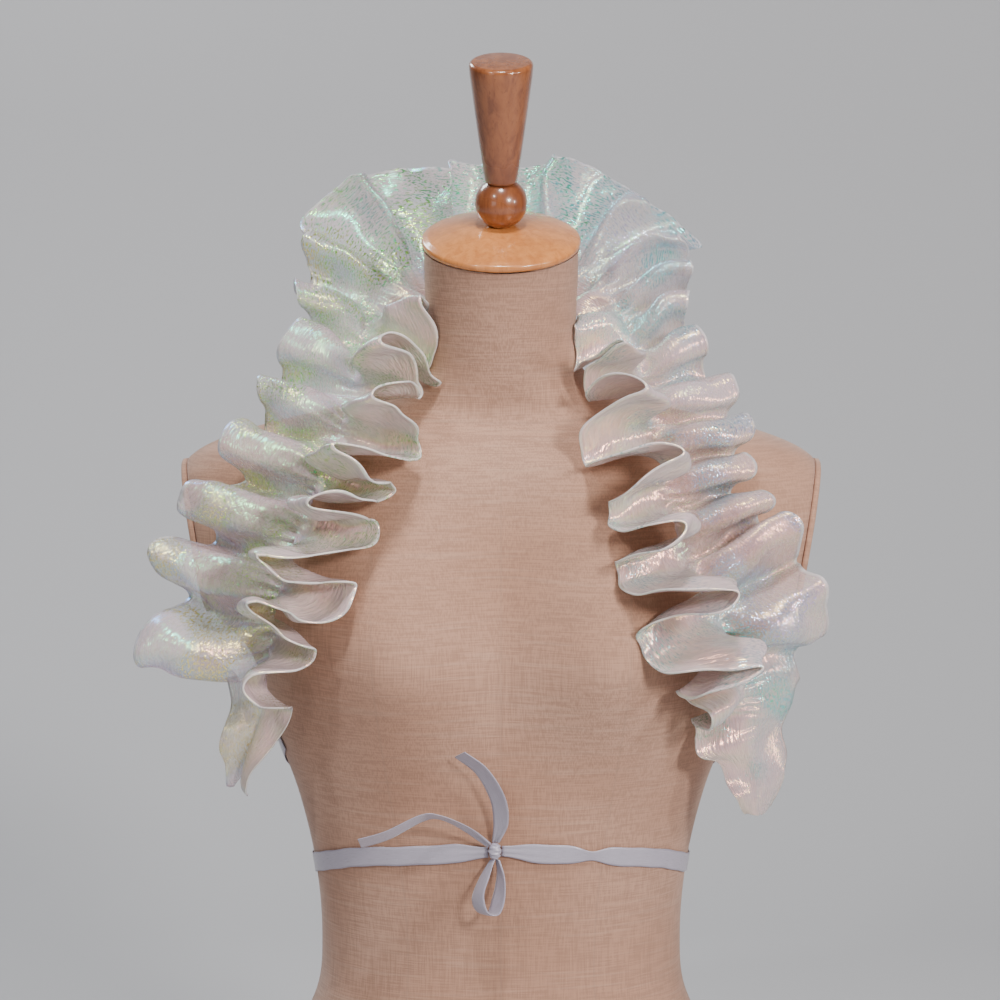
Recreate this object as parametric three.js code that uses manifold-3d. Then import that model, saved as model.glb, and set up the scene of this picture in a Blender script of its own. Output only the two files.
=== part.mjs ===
// Ruffled collar capelet worn on a limbless dress form.
// Millimetres, +Z up, the front faces -Y, the origin is the middle of the base board's underside.

import * as THREE from 'three';
import { mergeVertices } from 'three/addons/utils/BufferGeometryUtils.js';
import Module from 'manifold-3d';

const wasm = await Module();
wasm.setup();
const { degToRad, radToDeg, clamp, smoothstep } = THREE.MathUtils;

// Driving dimensions
const SEAM_GAP = 0.3;
const BASE_BOARD_THICKNESS = 8;
const SHOULDER_TIP = { x: 205, z: 516 };
const ARM_PLATE_SLOPE = 0.17;
const ARM_PLATE_THICKNESS = 4;
const ARM_PLATE_REACH = 118;
const NECK_LEAN = degToRad(17.5);
const NECK_TOP = new THREE.Vector3(0, -28, 663.5);
const CAP_RADIUS = 51.2;
const CAP_EDGE = 5;
const CAP_DOME = 9;
const BALL_RADIUS = 16.8;
const BALL_HEIGHT = 29;
const HANDLE_LENGTH = 80;
const HANDLE_FOOT_RADIUS = 10.5;
const HANDLE_TOP_RADIUS = 20.3;
const ORGANZA_WALL = 2;
const RUFFLE_CLEARANCE = 1.4;
const RIBBON_WIDTH = 12.7;
const RIBBON_WALL = 1;
const RIBBON_CLEARANCE = 0.8;

// Dress form sections: height, half width, middle of the oval, depth before and behind it, fullness
const FORM_SECTIONS = [
  { z: -20, half: 165, mid: 0, front: 106, back: 116, fullness: 2.4 },
  { z: 60, half: 164, mid: 0, front: 102, back: 116, fullness: 2.4 },
  { z: 120, half: 143, mid: 0, front: 93, back: 98, fullness: 2.3 },
  { z: 167, half: 122, mid: 0, front: 86, back: 82, fullness: 2.2 },
  { z: 200, half: 119, mid: 0, front: 84, back: 77, fullness: 2.2 },
  { z: 252, half: 123, mid: 0, front: 88, back: 79, fullness: 2.2 },
  { z: 300, half: 134, mid: 0, front: 92, back: 84, fullness: 2.2 },
  { z: 340, half: 148, mid: 0, front: 94, back: 89, fullness: 2.3 },
  { z: 370, half: 157, mid: 0, front: 94, back: 93, fullness: 2.3 },
  { z: 395, half: 166, mid: 0, front: 93, back: 96, fullness: 2.3 },
  { z: 430, half: 198, mid: 2, front: 90, back: 97, fullness: 2.3 },
  { z: 480, half: 214, mid: 4, front: 84, back: 94, fullness: 2.3 },
  { z: 505, half: 213, mid: 5, front: 79, back: 88, fullness: 2.2 },
  { z: 516, half: 208, mid: 6, front: 76, back: 84, fullness: 2.2 },
  { z: 527, half: 194, mid: 7, front: 71, back: 80, fullness: 2.2 },
  { z: 538, half: 165, mid: 8, front: 65, back: 75, fullness: 2.1 },
  { z: 548, half: 126, mid: 8, front: 57, back: 69, fullness: 2 },
  { z: 557, half: 92, mid: 6, front: 53, back: 62, fullness: 2 },
  { z: 566, half: 68, mid: 3, front: 52, back: 57, fullness: 2 },
  { z: 578, half: 54, mid: -1, front: 52, back: 53, fullness: 2 },
  { z: 590, half: 50, mid: -5, front: 52, back: 52, fullness: 2 },
  { z: 640, half: 49.5, mid: -20.6, front: 52, back: 52, fullness: 2 },
  { z: 720, half: 51.5, mid: -45.8, front: 54, back: 54, fullness: 2 },
];
const FORM_LEVELS = [
  { from: -12, to: 492, step: 24 },
  { from: 504, to: 584, step: 8 },
  { from: 592, to: 712, step: 40 },
];
const FORM_SIDES = 40;
const BUST = { x: 77, z: 401, lift: 32, across: 38, above: 56, below: 38 };

// The line the organza is gathered on, from the centre back seam to the tail.
// Station along it, its place, the way the outer half leaves it, and how far each half bends up.
const GATHER_RIGHT = [
  { at: 0, x: 0, y: 76, z: 650, ox: 0, oy: 30, oz: 95, outer: 0, inner: 0 },
  { at: 32, x: 31, y: 68, z: 650, ox: 40, oy: 34, oz: 85, outer: 0, inner: -22 },
  { at: 62, x: 54, y: 49, z: 646, ox: 80, oy: 34, oz: 60, outer: 0, inner: -36 },
  { at: 92, x: 68, y: 24, z: 636, ox: 98, oy: 16, oz: 30, outer: 0, inner: -26 },
  { at: 125, x: 80, y: -4, z: 615, ox: 100, oy: 6, oz: 26, outer: -6, inner: 2 },
  { at: 160, x: 91, y: -34, z: 582, ox: 98, oy: 8, oz: 26, outer: -10, inner: 14 },
  { at: 195, x: 98, y: -57, z: 548, ox: 95, oy: 16, oz: 20, outer: -12, inner: 10 },
  { at: 230, x: 107, y: -76, z: 513, ox: 95, oy: 20, oz: 18, outer: -12, inner: 8 },
  { at: 268, x: 118, y: -88, z: 473, ox: 95, oy: 24, oz: 18, outer: -10, inner: 10 },
  { at: 305, x: 134, y: -93, z: 438, ox: 92, oy: 30, oz: 24, outer: -6, inner: 10 },
  { at: 342, x: 150, y: -86, z: 405, ox: 90, oy: 34, oz: 20, outer: -8, inner: 6 },
  { at: 380, x: 161, y: -82, z: 368, ox: 88, oy: 40, oz: 14, outer: -24, inner: -18 },
  { at: 452, x: 169, y: -76, z: 297, ox: 86, oy: 44, oz: 10, outer: -30, inner: -28 },
];
const GATHER_LEFT = [
  { at: 0, x: 0, y: 76, z: 650, ox: 0, oy: 30, oz: 95, outer: 0, inner: 0 },
  { at: 32, x: -31, y: 68, z: 650, ox: -34, oy: 34, oz: 88, outer: 0, inner: -22 },
  { at: 62, x: -55, y: 49, z: 648, ox: -70, oy: 34, oz: 70, outer: 0, inner: -36 },
  { at: 92, x: -70, y: 24, z: 641, ox: -95, oy: 20, oz: 40, outer: 0, inner: -30 },
  { at: 125, x: -84, y: -2, z: 620, ox: -98, oy: 8, oz: 32, outer: -6, inner: -8 },
  { at: 162, x: -93, y: -34, z: 588, ox: -95, oy: 8, oz: 36, outer: -10, inner: 8 },
  { at: 198, x: -100, y: -54, z: 558, ox: -92, oy: 14, oz: 38, outer: -12, inner: 12 },
  { at: 235, x: -113, y: -72, z: 530, ox: -90, oy: 18, oz: 40, outer: -12, inner: 12 },
  { at: 272, x: -125, y: -83, z: 498, ox: -92, oy: 22, oz: 36, outer: -10, inner: 12 },
  { at: 310, x: -137, y: -91, z: 464, ox: -92, oy: 26, oz: 26, outer: -8, inner: 12 },
  { at: 348, x: -146, y: -95, z: 430, ox: -92, oy: 30, oz: 14, outer: -4, inner: 12 },
  { at: 384, x: -150, y: -90, z: 396, ox: -92, oy: 34, oz: 6, outer: 0, inner: 12 },
  { at: 448, x: -166, y: -70, z: 322, ox: -90, oy: 40, oz: 6, outer: 0, inner: 10 },
];

// Fold crests from the centre back to the tail: station, reach from the gathers to the rim, height,
// how far the crest leans towards the tail, how far its sides bulge over the hollows (share of pitch),
// how broad it is against its hollow, and how many degrees further up it stands.
const FOLDS_RIGHT_OUTER = [
  { at: 0, reach: 60, rise: 22, lean: 0, bulge: 0.02, crown: 0, swing: 0 },
  { at: 30, reach: 64, rise: 22, lean: 2, bulge: 0.02, crown: -0.8, swing: 0 },
  { at: 62, reach: 66, rise: 24, lean: 6, bulge: 0.02, crown: -0.8, swing: 0 },
  { at: 90, reach: 60, rise: 26, lean: 6, bulge: 0.04, crown: -0.6, swing: 0 },
  { at: 114, reach: 46, rise: 26, lean: 6, bulge: 0.06, crown: 0.3, swing: 0 },
  { at: 136, reach: 36, rise: 26, lean: 6, bulge: 0.07, crown: 0.45, swing: 0 },
  { at: 158, reach: 40, rise: 28, lean: 4, bulge: 0.07, crown: 0.5, swing: 0 },
  { at: 181, reach: 47, rise: 26, lean: 3, bulge: 0.07, crown: 0.45, swing: 0 },
  { at: 206, reach: 52, rise: 32, lean: 6, bulge: 0.07, crown: 0.5, swing: 0 },
  { at: 230, reach: 53, rise: 26, lean: 3, bulge: 0.07, crown: 0.45, swing: 0 },
  { at: 257, reach: 56, rise: 30, lean: -2, bulge: 0.07, crown: 0.5, swing: 0 },
  { at: 290, reach: 64, rise: 26, lean: -8, bulge: 0.07, crown: 0.4, swing: 0 },
  { at: 330, reach: 58, rise: 38, lean: 6, bulge: 0.08, crown: 0.45, swing: 0 },
  { at: 376, reach: 38, rise: 10, lean: 4, bulge: 0.03, crown: 0.2, swing: 0 },
  { at: 436, reach: 34, rise: 4, lean: 2, bulge: 0.02, crown: 0, swing: 0 },
];
const FOLDS_RIGHT_INNER = [
  { at: 0, reach: 54, rise: 16, lean: 0, bulge: 0.06, crown: 0, swing: 0 },
  { at: 34, reach: 54, rise: 16, lean: 0, bulge: 0.08, crown: 0, swing: 0 },
  { at: 68, reach: 44, rise: 12, lean: -2, bulge: 0.04, crown: 0, swing: 0 },
  { at: 100, reach: 26, rise: 8, lean: 0, bulge: 0.02, crown: 0, swing: 6 },
  { at: 130, reach: 32, rise: 12, lean: 2, bulge: 0.02, crown: 0.1, swing: 24 },
  { at: 158, reach: 50, rise: 22, lean: 8, bulge: 0.04, crown: 0, swing: 42 },
  { at: 186, reach: 48, rise: 22, lean: 10, bulge: 0.08, crown: -0.3, swing: 52 },
  { at: 220, reach: 47, rise: 22, lean: 14, bulge: 0.06, crown: -0.3, swing: 52 },
  { at: 252, reach: 50, rise: 22, lean: 8, bulge: 0.08, crown: -0.3, swing: 50 },
  { at: 284, reach: 52, rise: 26, lean: 14, bulge: 0.08, crown: -0.4, swing: 56 },
  { at: 322, reach: 58, rise: 26, lean: 10, bulge: 0.08, crown: -0.4, swing: 52 },
  { at: 364, reach: 42, rise: 14, lean: 6, bulge: 0.05, crown: -0.2, swing: 26 },
  { at: 404, reach: 36, rise: 6, lean: 2, bulge: 0.02, crown: 0, swing: 4 },
  { at: 444, reach: 32, rise: 3, lean: 0, bulge: 0.02, crown: 0, swing: 0 },
];
const FOLDS_LEFT_OUTER = [
  { at: 0, reach: 60, rise: 22, lean: 0, bulge: 0.02, crown: 0, swing: 0 },
  { at: 34, reach: 64, rise: 24, lean: 0, bulge: 0.02, crown: -0.8, swing: 0 },
  { at: 70, reach: 68, rise: 26, lean: 4, bulge: 0.02, crown: -0.8, swing: 0 },
  { at: 104, reach: 62, rise: 28, lean: 8, bulge: 0.05, crown: -0.6, swing: 0 },
  { at: 136, reach: 38, rise: 30, lean: 2, bulge: 0.06, crown: 0.4, swing: 0 },
  { at: 168, reach: 36, rise: 28, lean: -4, bulge: 0.07, crown: 0.45, swing: 0 },
  { at: 205, reach: 45, rise: 32, lean: 2, bulge: 0.07, crown: 0.5, swing: 0 },
  { at: 246, reach: 54, rise: 28, lean: -2, bulge: 0.07, crown: 0.45, swing: 0 },
  { at: 286, reach: 60, rise: 34, lean: 3, bulge: 0.07, crown: 0.5, swing: 0 },
  { at: 328, reach: 64, rise: 34, lean: -2, bulge: 0.07, crown: 0.45, swing: 0 },
  { at: 376, reach: 66, rise: 42, lean: 8, bulge: 0.08, crown: 0.45, swing: 0 },
  { at: 432, reach: 28, rise: 18, lean: 4, bulge: 0.04, crown: 0.2, swing: 0 },
];
const FOLDS_LEFT_INNER = [
  { at: 0, reach: 54, rise: 16, lean: 0, bulge: 0.06, crown: 0, swing: 0 },
  { at: 34, reach: 54, rise: 16, lean: 0, bulge: 0.08, crown: 0, swing: 0 },
  { at: 66, reach: 44, rise: 12, lean: -2, bulge: 0.04, crown: 0, swing: 0 },
  { at: 98, reach: 36, rise: 8, lean: 0, bulge: 0.02, crown: 0, swing: 4 },
  { at: 134, reach: 52, rise: 22, lean: 8, bulge: 0.04, crown: -0.2, swing: 42 },
  { at: 170, reach: 56, rise: 22, lean: 12, bulge: 0.06, crown: -0.3, swing: 46 },
  { at: 200, reach: 58, rise: 22, lean: 10, bulge: 0.04, crown: 0, swing: 44 },
  { at: 232, reach: 64, rise: 22, lean: 15, bulge: 0.05, crown: -0.2, swing: 48 },
  { at: 262, reach: 60, rise: 22, lean: 14, bulge: 0.08, crown: -0.3, swing: 50 },
  { at: 296, reach: 56, rise: 26, lean: 16, bulge: 0.08, crown: -0.4, swing: 58 },
  { at: 336, reach: 50, rise: 26, lean: 10, bulge: 0.08, crown: -0.4, swing: 52 },
  { at: 380, reach: 38, rise: 22, lean: 6, bulge: 0.08, crown: -0.2, swing: 38 },
  { at: 436, reach: 20, rise: 12, lean: 4, bulge: 0.02, crown: 0, swing: 10 },
];

// The rim dips between rounded crests, and on the crests where these are narrow ridges
const NOTCH_SHARE = 0.16;
const RIDGED_CROWN = -0.7;
const ROUNDED_CROWN = -0.2;
const CROWN_EASE = 0.45;

// Shares of the way from the gathers to the rim by which the folds open and the crests swing up
const STITCHED_SHARE = 0.12;
const OPEN_FROM = -0.3;
const OPEN_BY = 0.62;
const SWING_BY = 0.5;

// The strip narrows to a blunt tail, and its gathers lie a little below the gather line
const TAIL_LENGTH = 60;
const TAIL_REACH = 0.12;
const BLUNT_TAIL = 5;
const GATHER_SEAT = -5;

// Rows of points a fold, and columns of points from the inner rim to the outer
const STEPS_A_FOLD = 10;
const ACROSS = [-1, -0.74, -0.48, -0.24, 0, 0.2, 0.45, 0.72, 1];

// Ribbon runs, from the tie at the front round the side and the back to a ruffle's tail:
// turn from the front in degrees and height.
const RIBBON_RUN = [
  { turn: 0, z: 278 },
  { turn: 45, z: 268 },
  { turn: 90, z: 251 },
  { turn: 135, z: 250 },
  { turn: 180, z: 268 },
  { turn: 225, z: 292 },
  { turn: 262, z: 316 },
  { turn: 286, z: 338 },
];
const CROSSING_LIFT = 1.6;
const CROSSING_SPREAD = 26;
const RIBBON_STEPS = 40;

// Tie at the front: each stretch of ribbon by its middle line and the way its width lies
const KNOT = { x: -4, y: -94.2, z: 278.5, width: 8, depth: 6.6, height: 11 };
const KNOT_GAP = 0.4;
const RIBBON_LOOP = [
  { x: -5.4, y: -94.5, z: 272.9, wx: 0.5, wy: -0.8, wz: 0.2, width: 5 },
  { x: -11, y: -98, z: 262, wx: 0.6, wy: -0.75, wz: 0.3, width: 11 },
  { x: -15, y: -101, z: 250, wx: 0.6, wy: -0.75, wz: 0.3, width: 12.7 },
  { x: -12, y: -103, z: 240.5, wx: 0.6, wy: -0.8, wz: 0.1, width: 12.7 },
  { x: -5, y: -103, z: 239.5, wx: 0.6, wy: -0.8, wz: 0.1, width: 12.7 },
  { x: -1, y: -100, z: 250, wx: 0.55, wy: -0.8, wz: -0.1, width: 12.7 },
  { x: 0, y: -97, z: 262, wx: 0.5, wy: -0.85, wz: 0, width: 10 },
  { x: -2.2, y: -94.5, z: 272.9, wx: 0.5, wy: -0.85, wz: 0, width: 5 },
];
const RIBBON_END_UP = [
  { x: -3.4, y: -94.5, z: 284.4, wx: 0.9, wy: -0.4, wz: 0, width: 5 },
  { x: 0, y: -100, z: 298, wx: 0.85, wy: -0.5, wz: 0.1, width: 11 },
  { x: -2, y: -105, z: 315, wx: 0.7, wy: -0.6, wz: 0.3, width: 12.7 },
  { x: -12, y: -107, z: 333, wx: 0.55, wy: -0.7, wz: 0.4, width: 12.7 },
  { x: -26, y: -107, z: 344, wx: 0.5, wy: -0.75, wz: 0.4, width: 12.7 },
];
const RIBBON_END_SIDE = [
  { x: -7.6, y: -95, z: 282.4, wx: 0.4, wy: -0.6, wz: 0.6, width: 5 },
  { x: -22, y: -103, z: 295, wx: 0.2, wy: -0.85, wz: 0.45, width: 11 },
  { x: -38, y: -108, z: 303.5, wx: 0, wy: -0.9, wz: 0.4, width: 12.7 },
  { x: -50, y: -109, z: 303.5, wx: -0.1, wy: -0.85, wz: 0.5, width: 12.7 },
  { x: -72, y: -107, z: 292, wx: -0.2, wy: -0.8, wz: 0.55, width: 12.7 },
  { x: -90, y: -103, z: 285.5, wx: -0.15, wy: -0.75, wz: 0.6, width: 12.7 },
];

// Finishes
const FINISHES = {
  linen: { color: 0xd9bfa6, roughness: 0.9, metalness: 0 },
  beech: { color: 0xcf8950, roughness: 0.25, metalness: 0 },
  stained: { color: 0xa5623a, roughness: 0.25, metalness: 0 },
  board: { color: 0xb79a76, roughness: 0.8, metalness: 0 },
  organza: { color: 0xe9e2e8, roughness: 0.35, metalness: 0 },
  satin: { color: 0xdcd4e6, roughness: 0.3, metalness: 0 },
};

// Numbers read smoothly between a table's rows

function smoothColumn(rows, key, column) {
  const xs = rows.map((row) => row[key]);
  const ys = rows.map((row) => row[column]);
  const last = xs.length - 1;
  const rates = [];
  for (let i = 0; i < last; i += 1) {
    rates.push((ys[i + 1] - ys[i]) / (xs[i + 1] - xs[i]));
  }
  const slopes = xs.map((_, i) => {
    if (i === 0 || i === last) {
      return rates[i === 0 ? 0 : last - 1];
    }
    return (rates[i - 1] + rates[i]) / 2;
  });
  return (x) => {
    const at = clamp(x, xs[0], xs[last]);
    let i = 0;
    while (i < last - 1 && at > xs[i + 1]) {
      i += 1;
    }
    const span = xs[i + 1] - xs[i];
    const t = (at - xs[i]) / span;
    const t2 = t * t;
    const t3 = t2 * t;
    const rise = (3 * t2 - 2 * t3) * (ys[i + 1] - ys[i]);
    return ys[i] + rise + span * ((t3 - 2 * t2 + t) * slopes[i] + (t3 - t2) * slopes[i + 1]);
  };
}

function smoothTable(rows, key) {
  const readers = {};
  for (const column of Object.keys(rows[0])) {
    if (column !== key) {
      readers[column] = smoothColumn(rows, key, column);
    }
  }
  return (x) => {
    const row = {};
    for (const [column, read] of Object.entries(readers)) {
      row[column] = read(x);
    }
    return row;
  };
}

// Dress form

const sectionAt = smoothTable(FORM_SECTIONS, 'z');

function bustLift(x, z) {
  const across = (Math.abs(x) - BUST.x) / BUST.across;
  const along = (z - BUST.z) / (z > BUST.z ? BUST.above : BUST.below);
  return BUST.lift * Math.exp(-(across * across + along * along) / 2);
}

// Zero on the form's surface, positive outside it
function formField(point) {
  const section = sectionAt(point.z);
  const ahead = point.y < section.mid;
  const depth = ahead ? section.front + bustLift(point.x, point.z) : section.back;
  const across = Math.abs(point.x) / section.half;
  const along = Math.abs(point.y - section.mid) / depth;
  const power = section.fullness;
  return (across ** power + along ** power) ** (1 / power) - 1;
}

function formSlope(point) {
  const step = 0.5;
  const slope = new THREE.Vector3();
  for (const axis of ['x', 'y', 'z']) {
    const ahead = point.clone();
    const behind = point.clone();
    ahead[axis] += step;
    behind[axis] -= step;
    slope[axis] = (formField(ahead) - formField(behind)) / (2 * step);
  }
  return slope;
}

// Moves a point out until it is at least the given distance off the form
function clearOfForm(point, distance) {
  const moved = point.clone();
  for (let pass = 0; pass < 4; pass += 1) {
    const slope = formSlope(moved);
    const steepness = slope.length();
    const shortfall = distance - formField(moved) / steepness;
    if (shortfall <= 0) {
      return moved;
    }
    moved.addScaledVector(slope, shortfall / steepness);
  }
  return moved;
}

function formPoint(turn, z) {
  const section = sectionAt(z);
  const side = Math.sin(turn);
  const ahead = Math.cos(turn);
  const power = 2 / section.fullness;
  const x = section.half * Math.sign(side) * Math.abs(side) ** power;
  const depth = ahead > 0 ? -(section.front + bustLift(x, z)) : section.back;
  return new THREE.Vector3(x, section.mid + depth * Math.abs(ahead) ** power, z);
}

// Closed bodies

function bodyFrom(points, triangles) {
  const geometry = new THREE.BufferGeometry();
  const positions = points.flatMap((point) => [point.x, point.y, point.z]);
  geometry.setAttribute('position', new THREE.Float32BufferAttribute(positions, 3));
  geometry.setIndex(triangles);
  return geometry;
}

function loftBody(rings) {
  const sides = rings[0].length;
  const points = rings.flat();
  const triangles = [];
  for (let ring = 0; ring < rings.length - 1; ring += 1) {
    for (let i = 0; i < sides; i += 1) {
      const a = ring * sides + i;
      const b = ring * sides + ((i + 1) % sides);
      triangles.push(a, b, b + sides, a, b + sides, a + sides);
    }
  }
  for (const [ring, upwards] of [[rings[0], false], [rings[rings.length - 1], true]]) {
    const first = points.indexOf(ring[0]);
    const middle = ring.reduce((sum, point) => sum.add(point), new THREE.Vector3()).divideScalar(sides);
    points.push(middle);
    for (let i = 0; i < sides; i += 1) {
      const a = first + i;
      const b = first + ((i + 1) % sides);
      triangles.push(...(upwards ? [a, b, points.length - 1] : [b, a, points.length - 1]));
    }
  }
  return bodyFrom(points, triangles);
}

function solidFrom(geometry) {
  const plain = geometry.clone();
  plain.deleteAttribute('normal');
  plain.deleteAttribute('uv');
  const merged = mergeVertices(plain, 1e-4);
  return new wasm.Manifold(new wasm.Mesh({
    numProp: 3,
    vertProperties: new Float32Array(merged.attributes.position.array),
    triVerts: new Uint32Array(merged.index.array),
  }));
}

function geometryFrom(solid) {
  const mesh = solid.getMesh();
  const geometry = new THREE.BufferGeometry();
  geometry.setAttribute('position', new THREE.Float32BufferAttribute(mesh.vertProperties, 3));
  geometry.setIndex(Array.from(mesh.triVerts));
  return geometry;
}

function slabBetween(low, high, turnY) {
  const reach = 900;
  const box = new THREE.BoxGeometry(high - low, reach, reach);
  box.translate((low + high) / 2, 0, 0);
  box.rotateY(turnY);
  return box;
}

// A wall of even thickness on a grid of points, with its rim closed
function wallBody(pointAt, rows, columns, thickness, normalAt) {
  const front = [];
  const back = [];
  for (const row of rows) {
    for (const column of columns) {
      const point = pointAt(row, column);
      const normal = normalAt(row, column);
      front.push(point.clone().addScaledVector(normal, thickness / 2));
      back.push(point.clone().addScaledVector(normal, -thickness / 2));
    }
  }
  const width = columns.length;
  const half = front.length;
  const triangles = [];
  for (let i = 0; i < rows.length - 1; i += 1) {
    for (let j = 0; j < width - 1; j += 1) {
      const a = i * width + j;
      const b = a + 1;
      const c = b + width;
      const d = a + width;
      triangles.push(a, b, c, a, c, d);
      triangles.push(half + a, half + c, half + b, half + a, half + d, half + c);
    }
  }
  const rim = [];
  for (let j = 0; j < width - 1; j += 1) {
    rim.push(j);
  }
  for (let i = 0; i < rows.length - 1; i += 1) {
    rim.push(i * width + width - 1);
  }
  for (let j = width - 1; j > 0; j -= 1) {
    rim.push((rows.length - 1) * width + j);
  }
  for (let i = rows.length - 1; i > 0; i -= 1) {
    rim.push(i * width);
  }
  rim.forEach((a, i) => {
    const b = rim[(i + 1) % rim.length];
    triangles.push(a, half + a, half + b, a, half + b, b);
  });
  return bodyFrom([...front, ...back], triangles);
}

function surfaceNormal(pointAt, row, column, rowStep, columnStep, rowRange, columnRange) {
  const [lowRow, highRow] = rowRange;
  const [lowColumn, highColumn] = columnRange;
  const alongRow = pointAt(Math.min(row + rowStep, highRow), column)
    .sub(pointAt(Math.max(row - rowStep, lowRow), column));
  const alongColumn = pointAt(row, Math.min(column + columnStep, highColumn))
    .sub(pointAt(row, Math.max(column - columnStep, lowColumn)));
  return alongColumn.cross(alongRow).normalize();
}

// Ruffle

// Turns of the wave at a station: a crest at each whole number
function foldTurns(folds, at) {
  const last = folds.length - 1;
  let i = 0;
  while (i < last - 1 && at > folds[i + 1].at) {
    i += 1;
  }
  return i + (at - folds[i].at) / (folds[i + 1].at - folds[i].at);
}

function ruffleSurface(gather, outerFolds, innerFolds, side) {
  const beyondSeam = { ...gather[1], at: -gather[1].at, x: -gather[1].x, ox: -gather[1].ox };
  const lineAt = smoothTable([beyondSeam, ...gather], 'at');
  const halves = [
    { folds: outerFolds, foldAt: smoothTable(outerFolds, 'at'), way: 1, bend: 'outer' },
    { folds: innerFolds, foldAt: smoothTable(innerFolds, 'at'), way: -1, bend: 'inner' },
  ];
  const end = gather[gather.length - 1].at;

  function lineFrame(at) {
    const step = 1;
    const here = lineAt(at);
    const next = lineAt(Math.min(at + step, end));
    const last = lineAt(at - step);
    const along = new THREE.Vector3(next.x - last.x, next.y - last.y, next.z - last.z).normalize();
    const outward = new THREE.Vector3(here.ox, here.oy, here.oz);
    outward.addScaledVector(along, -outward.dot(along)).normalize();
    const up = along.clone().cross(outward).multiplyScalar(side);
    return { here, along, outward, up };
  }

  return (at, across) => {
    const { here, along, outward, up } = lineFrame(at);
    const half = halves[across >= 0 ? 0 : 1];
    const fold = half.foldAt(at);
    const pitch = end / half.folds.length;
    const turn = foldTurns(half.folds, at) * 2 * Math.PI;
    const share = Math.abs(across);
    const open = smoothstep(share, 0, STITCHED_SHARE) * smoothstep(share, OPEN_FROM, OPEN_BY);
    const crest = ((1 + Math.cos(turn)) / 2) ** (1 - CROWN_EASE * fold.crown);
    const rounded = smoothstep(fold.crown, RIDGED_CROWN, ROUNDED_CROWN);
    const dent = rounded * (1 - crest) + (1 - rounded) * crest;
    const reach = fold.reach * (1 - NOTCH_SHARE * dent);
    const tail = Math.min(1, (end - at) / TAIL_LENGTH);
    const sideways = (reach * (TAIL_REACH + (1 - TAIL_REACH) * tail) + BLUNT_TAIL) * share;
    const bend = degToRad(here[half.bend] + fold.swing * crest * smoothstep(share, 0, SWING_BY));
    const height = fold.rise * crest * open;
    const bulge = fold.bulge * pitch * Math.sin(2 * turn);
    const spread = ((fold.crown * pitch) / (2 * Math.PI)) * Math.sin(turn);
    const level = outward.multiplyScalar(half.way);
    const point = new THREE.Vector3(here.x, here.y, here.z);
    point.addScaledVector(level, sideways * Math.cos(bend) - height * Math.sin(bend));
    point.addScaledVector(up, GATHER_SEAT + sideways * Math.sin(bend) + height * Math.cos(bend));
    point.addScaledVector(along, (bulge + spread + fold.lean * crest) * open);
    return clearOfForm(point, RUFFLE_CLEARANCE + ORGANZA_WALL / 2);
  };
}

function ruffleStations(folds, end) {
  const stations = [];
  const count = folds.length * STEPS_A_FOLD;
  for (let i = 0; i <= count; i += 1) {
    stations.push((end * i) / count);
  }
  return stations;
}

function ruffleBody(gather, outerFolds, innerFolds, side) {
  const pointAt = ruffleSurface(gather, outerFolds, innerFolds, side);
  const end = gather[gather.length - 1].at;
  const stations = ruffleStations(outerFolds, end);
  stations[0] = SEAM_GAP / 2;
  const normalAt = (row, column) => surfaceNormal(pointAt, row, column, 0.4, 0.02, [-end, end], [-1, 1]);
  return wallBody(pointAt, stations, ACROSS, ORGANZA_WALL, normalAt);
}

// Ribbons

// The turn at which a ribbon leaves the knot's side
function knotSideTurn(side) {
  const section = sectionAt(KNOT.z);
  const edge = Math.max(side * KNOT.x + KNOT.width / 2, 0) + KNOT_GAP;
  return radToDeg(Math.asin((edge / section.half) ** (section.fullness / 2)));
}

function ribbonRunBody(side, lift) {
  const runAt = smoothTable(RIBBON_RUN, 'turn');
  const first = knotSideTurn(side);
  const last = RIBBON_RUN[RIBBON_RUN.length - 1].turn;
  const offAt = (turn) => {
    const away = (turn - 180) / CROSSING_SPREAD;
    return RIBBON_CLEARANCE + RIBBON_WALL / 2 + lift * Math.exp(-away * away);
  };
  const middleAt = (turn) => {
    const angle = degToRad(turn) * side;
    return formPoint(angle, runAt(turn).z);
  };
  const pointAt = (turn, across) => {
    const middle = middleAt(turn);
    const ahead = middleAt(Math.min(turn + 1, last)).sub(middleAt(Math.max(turn - 1, first))).normalize();
    const outward = formSlope(middle).normalize();
    const upward = outward.clone().cross(ahead).normalize();
    const edge = middle.clone().addScaledVector(upward, (across * RIBBON_WIDTH) / 2);
    edge.addScaledVector(outward, -2);
    return clearOfForm(edge, offAt(turn));
  };
  const turns = [];
  for (let i = 0; i <= RIBBON_STEPS; i += 1) {
    turns.push(first + ((last - first) * i) / RIBBON_STEPS);
  }
  const normalAt = (row, column) => surfaceNormal(pointAt, row, column, 1, 0.2, [first, last], [-1, 1]);
  return wallBody(pointAt, turns, [-1, 0, 1], RIBBON_WALL, normalAt);
}

function ribbonStretchBody(rows, steps) {
  const marked = rows.map((row, i) => ({ at: i, ...row }));
  const rowAt = smoothTable(marked, 'at');
  const last = rows.length - 1;
  const pointAt = (at, across) => {
    const row = rowAt(at);
    const width = new THREE.Vector3(row.wx, row.wy, row.wz).normalize();
    return new THREE.Vector3(row.x, row.y, row.z).addScaledVector(width, (across * row.width) / 2);
  };
  const stations = [];
  for (let i = 0; i <= steps; i += 1) {
    stations.push((last * i) / steps);
  }
  const normalAt = (row, column) => surfaceNormal(pointAt, row, column, 0.05, 0.2, [0, last], [-1, 1]);
  return wallBody(pointAt, stations, [-1, 0, 1], RIBBON_WALL, normalAt);
}

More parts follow.
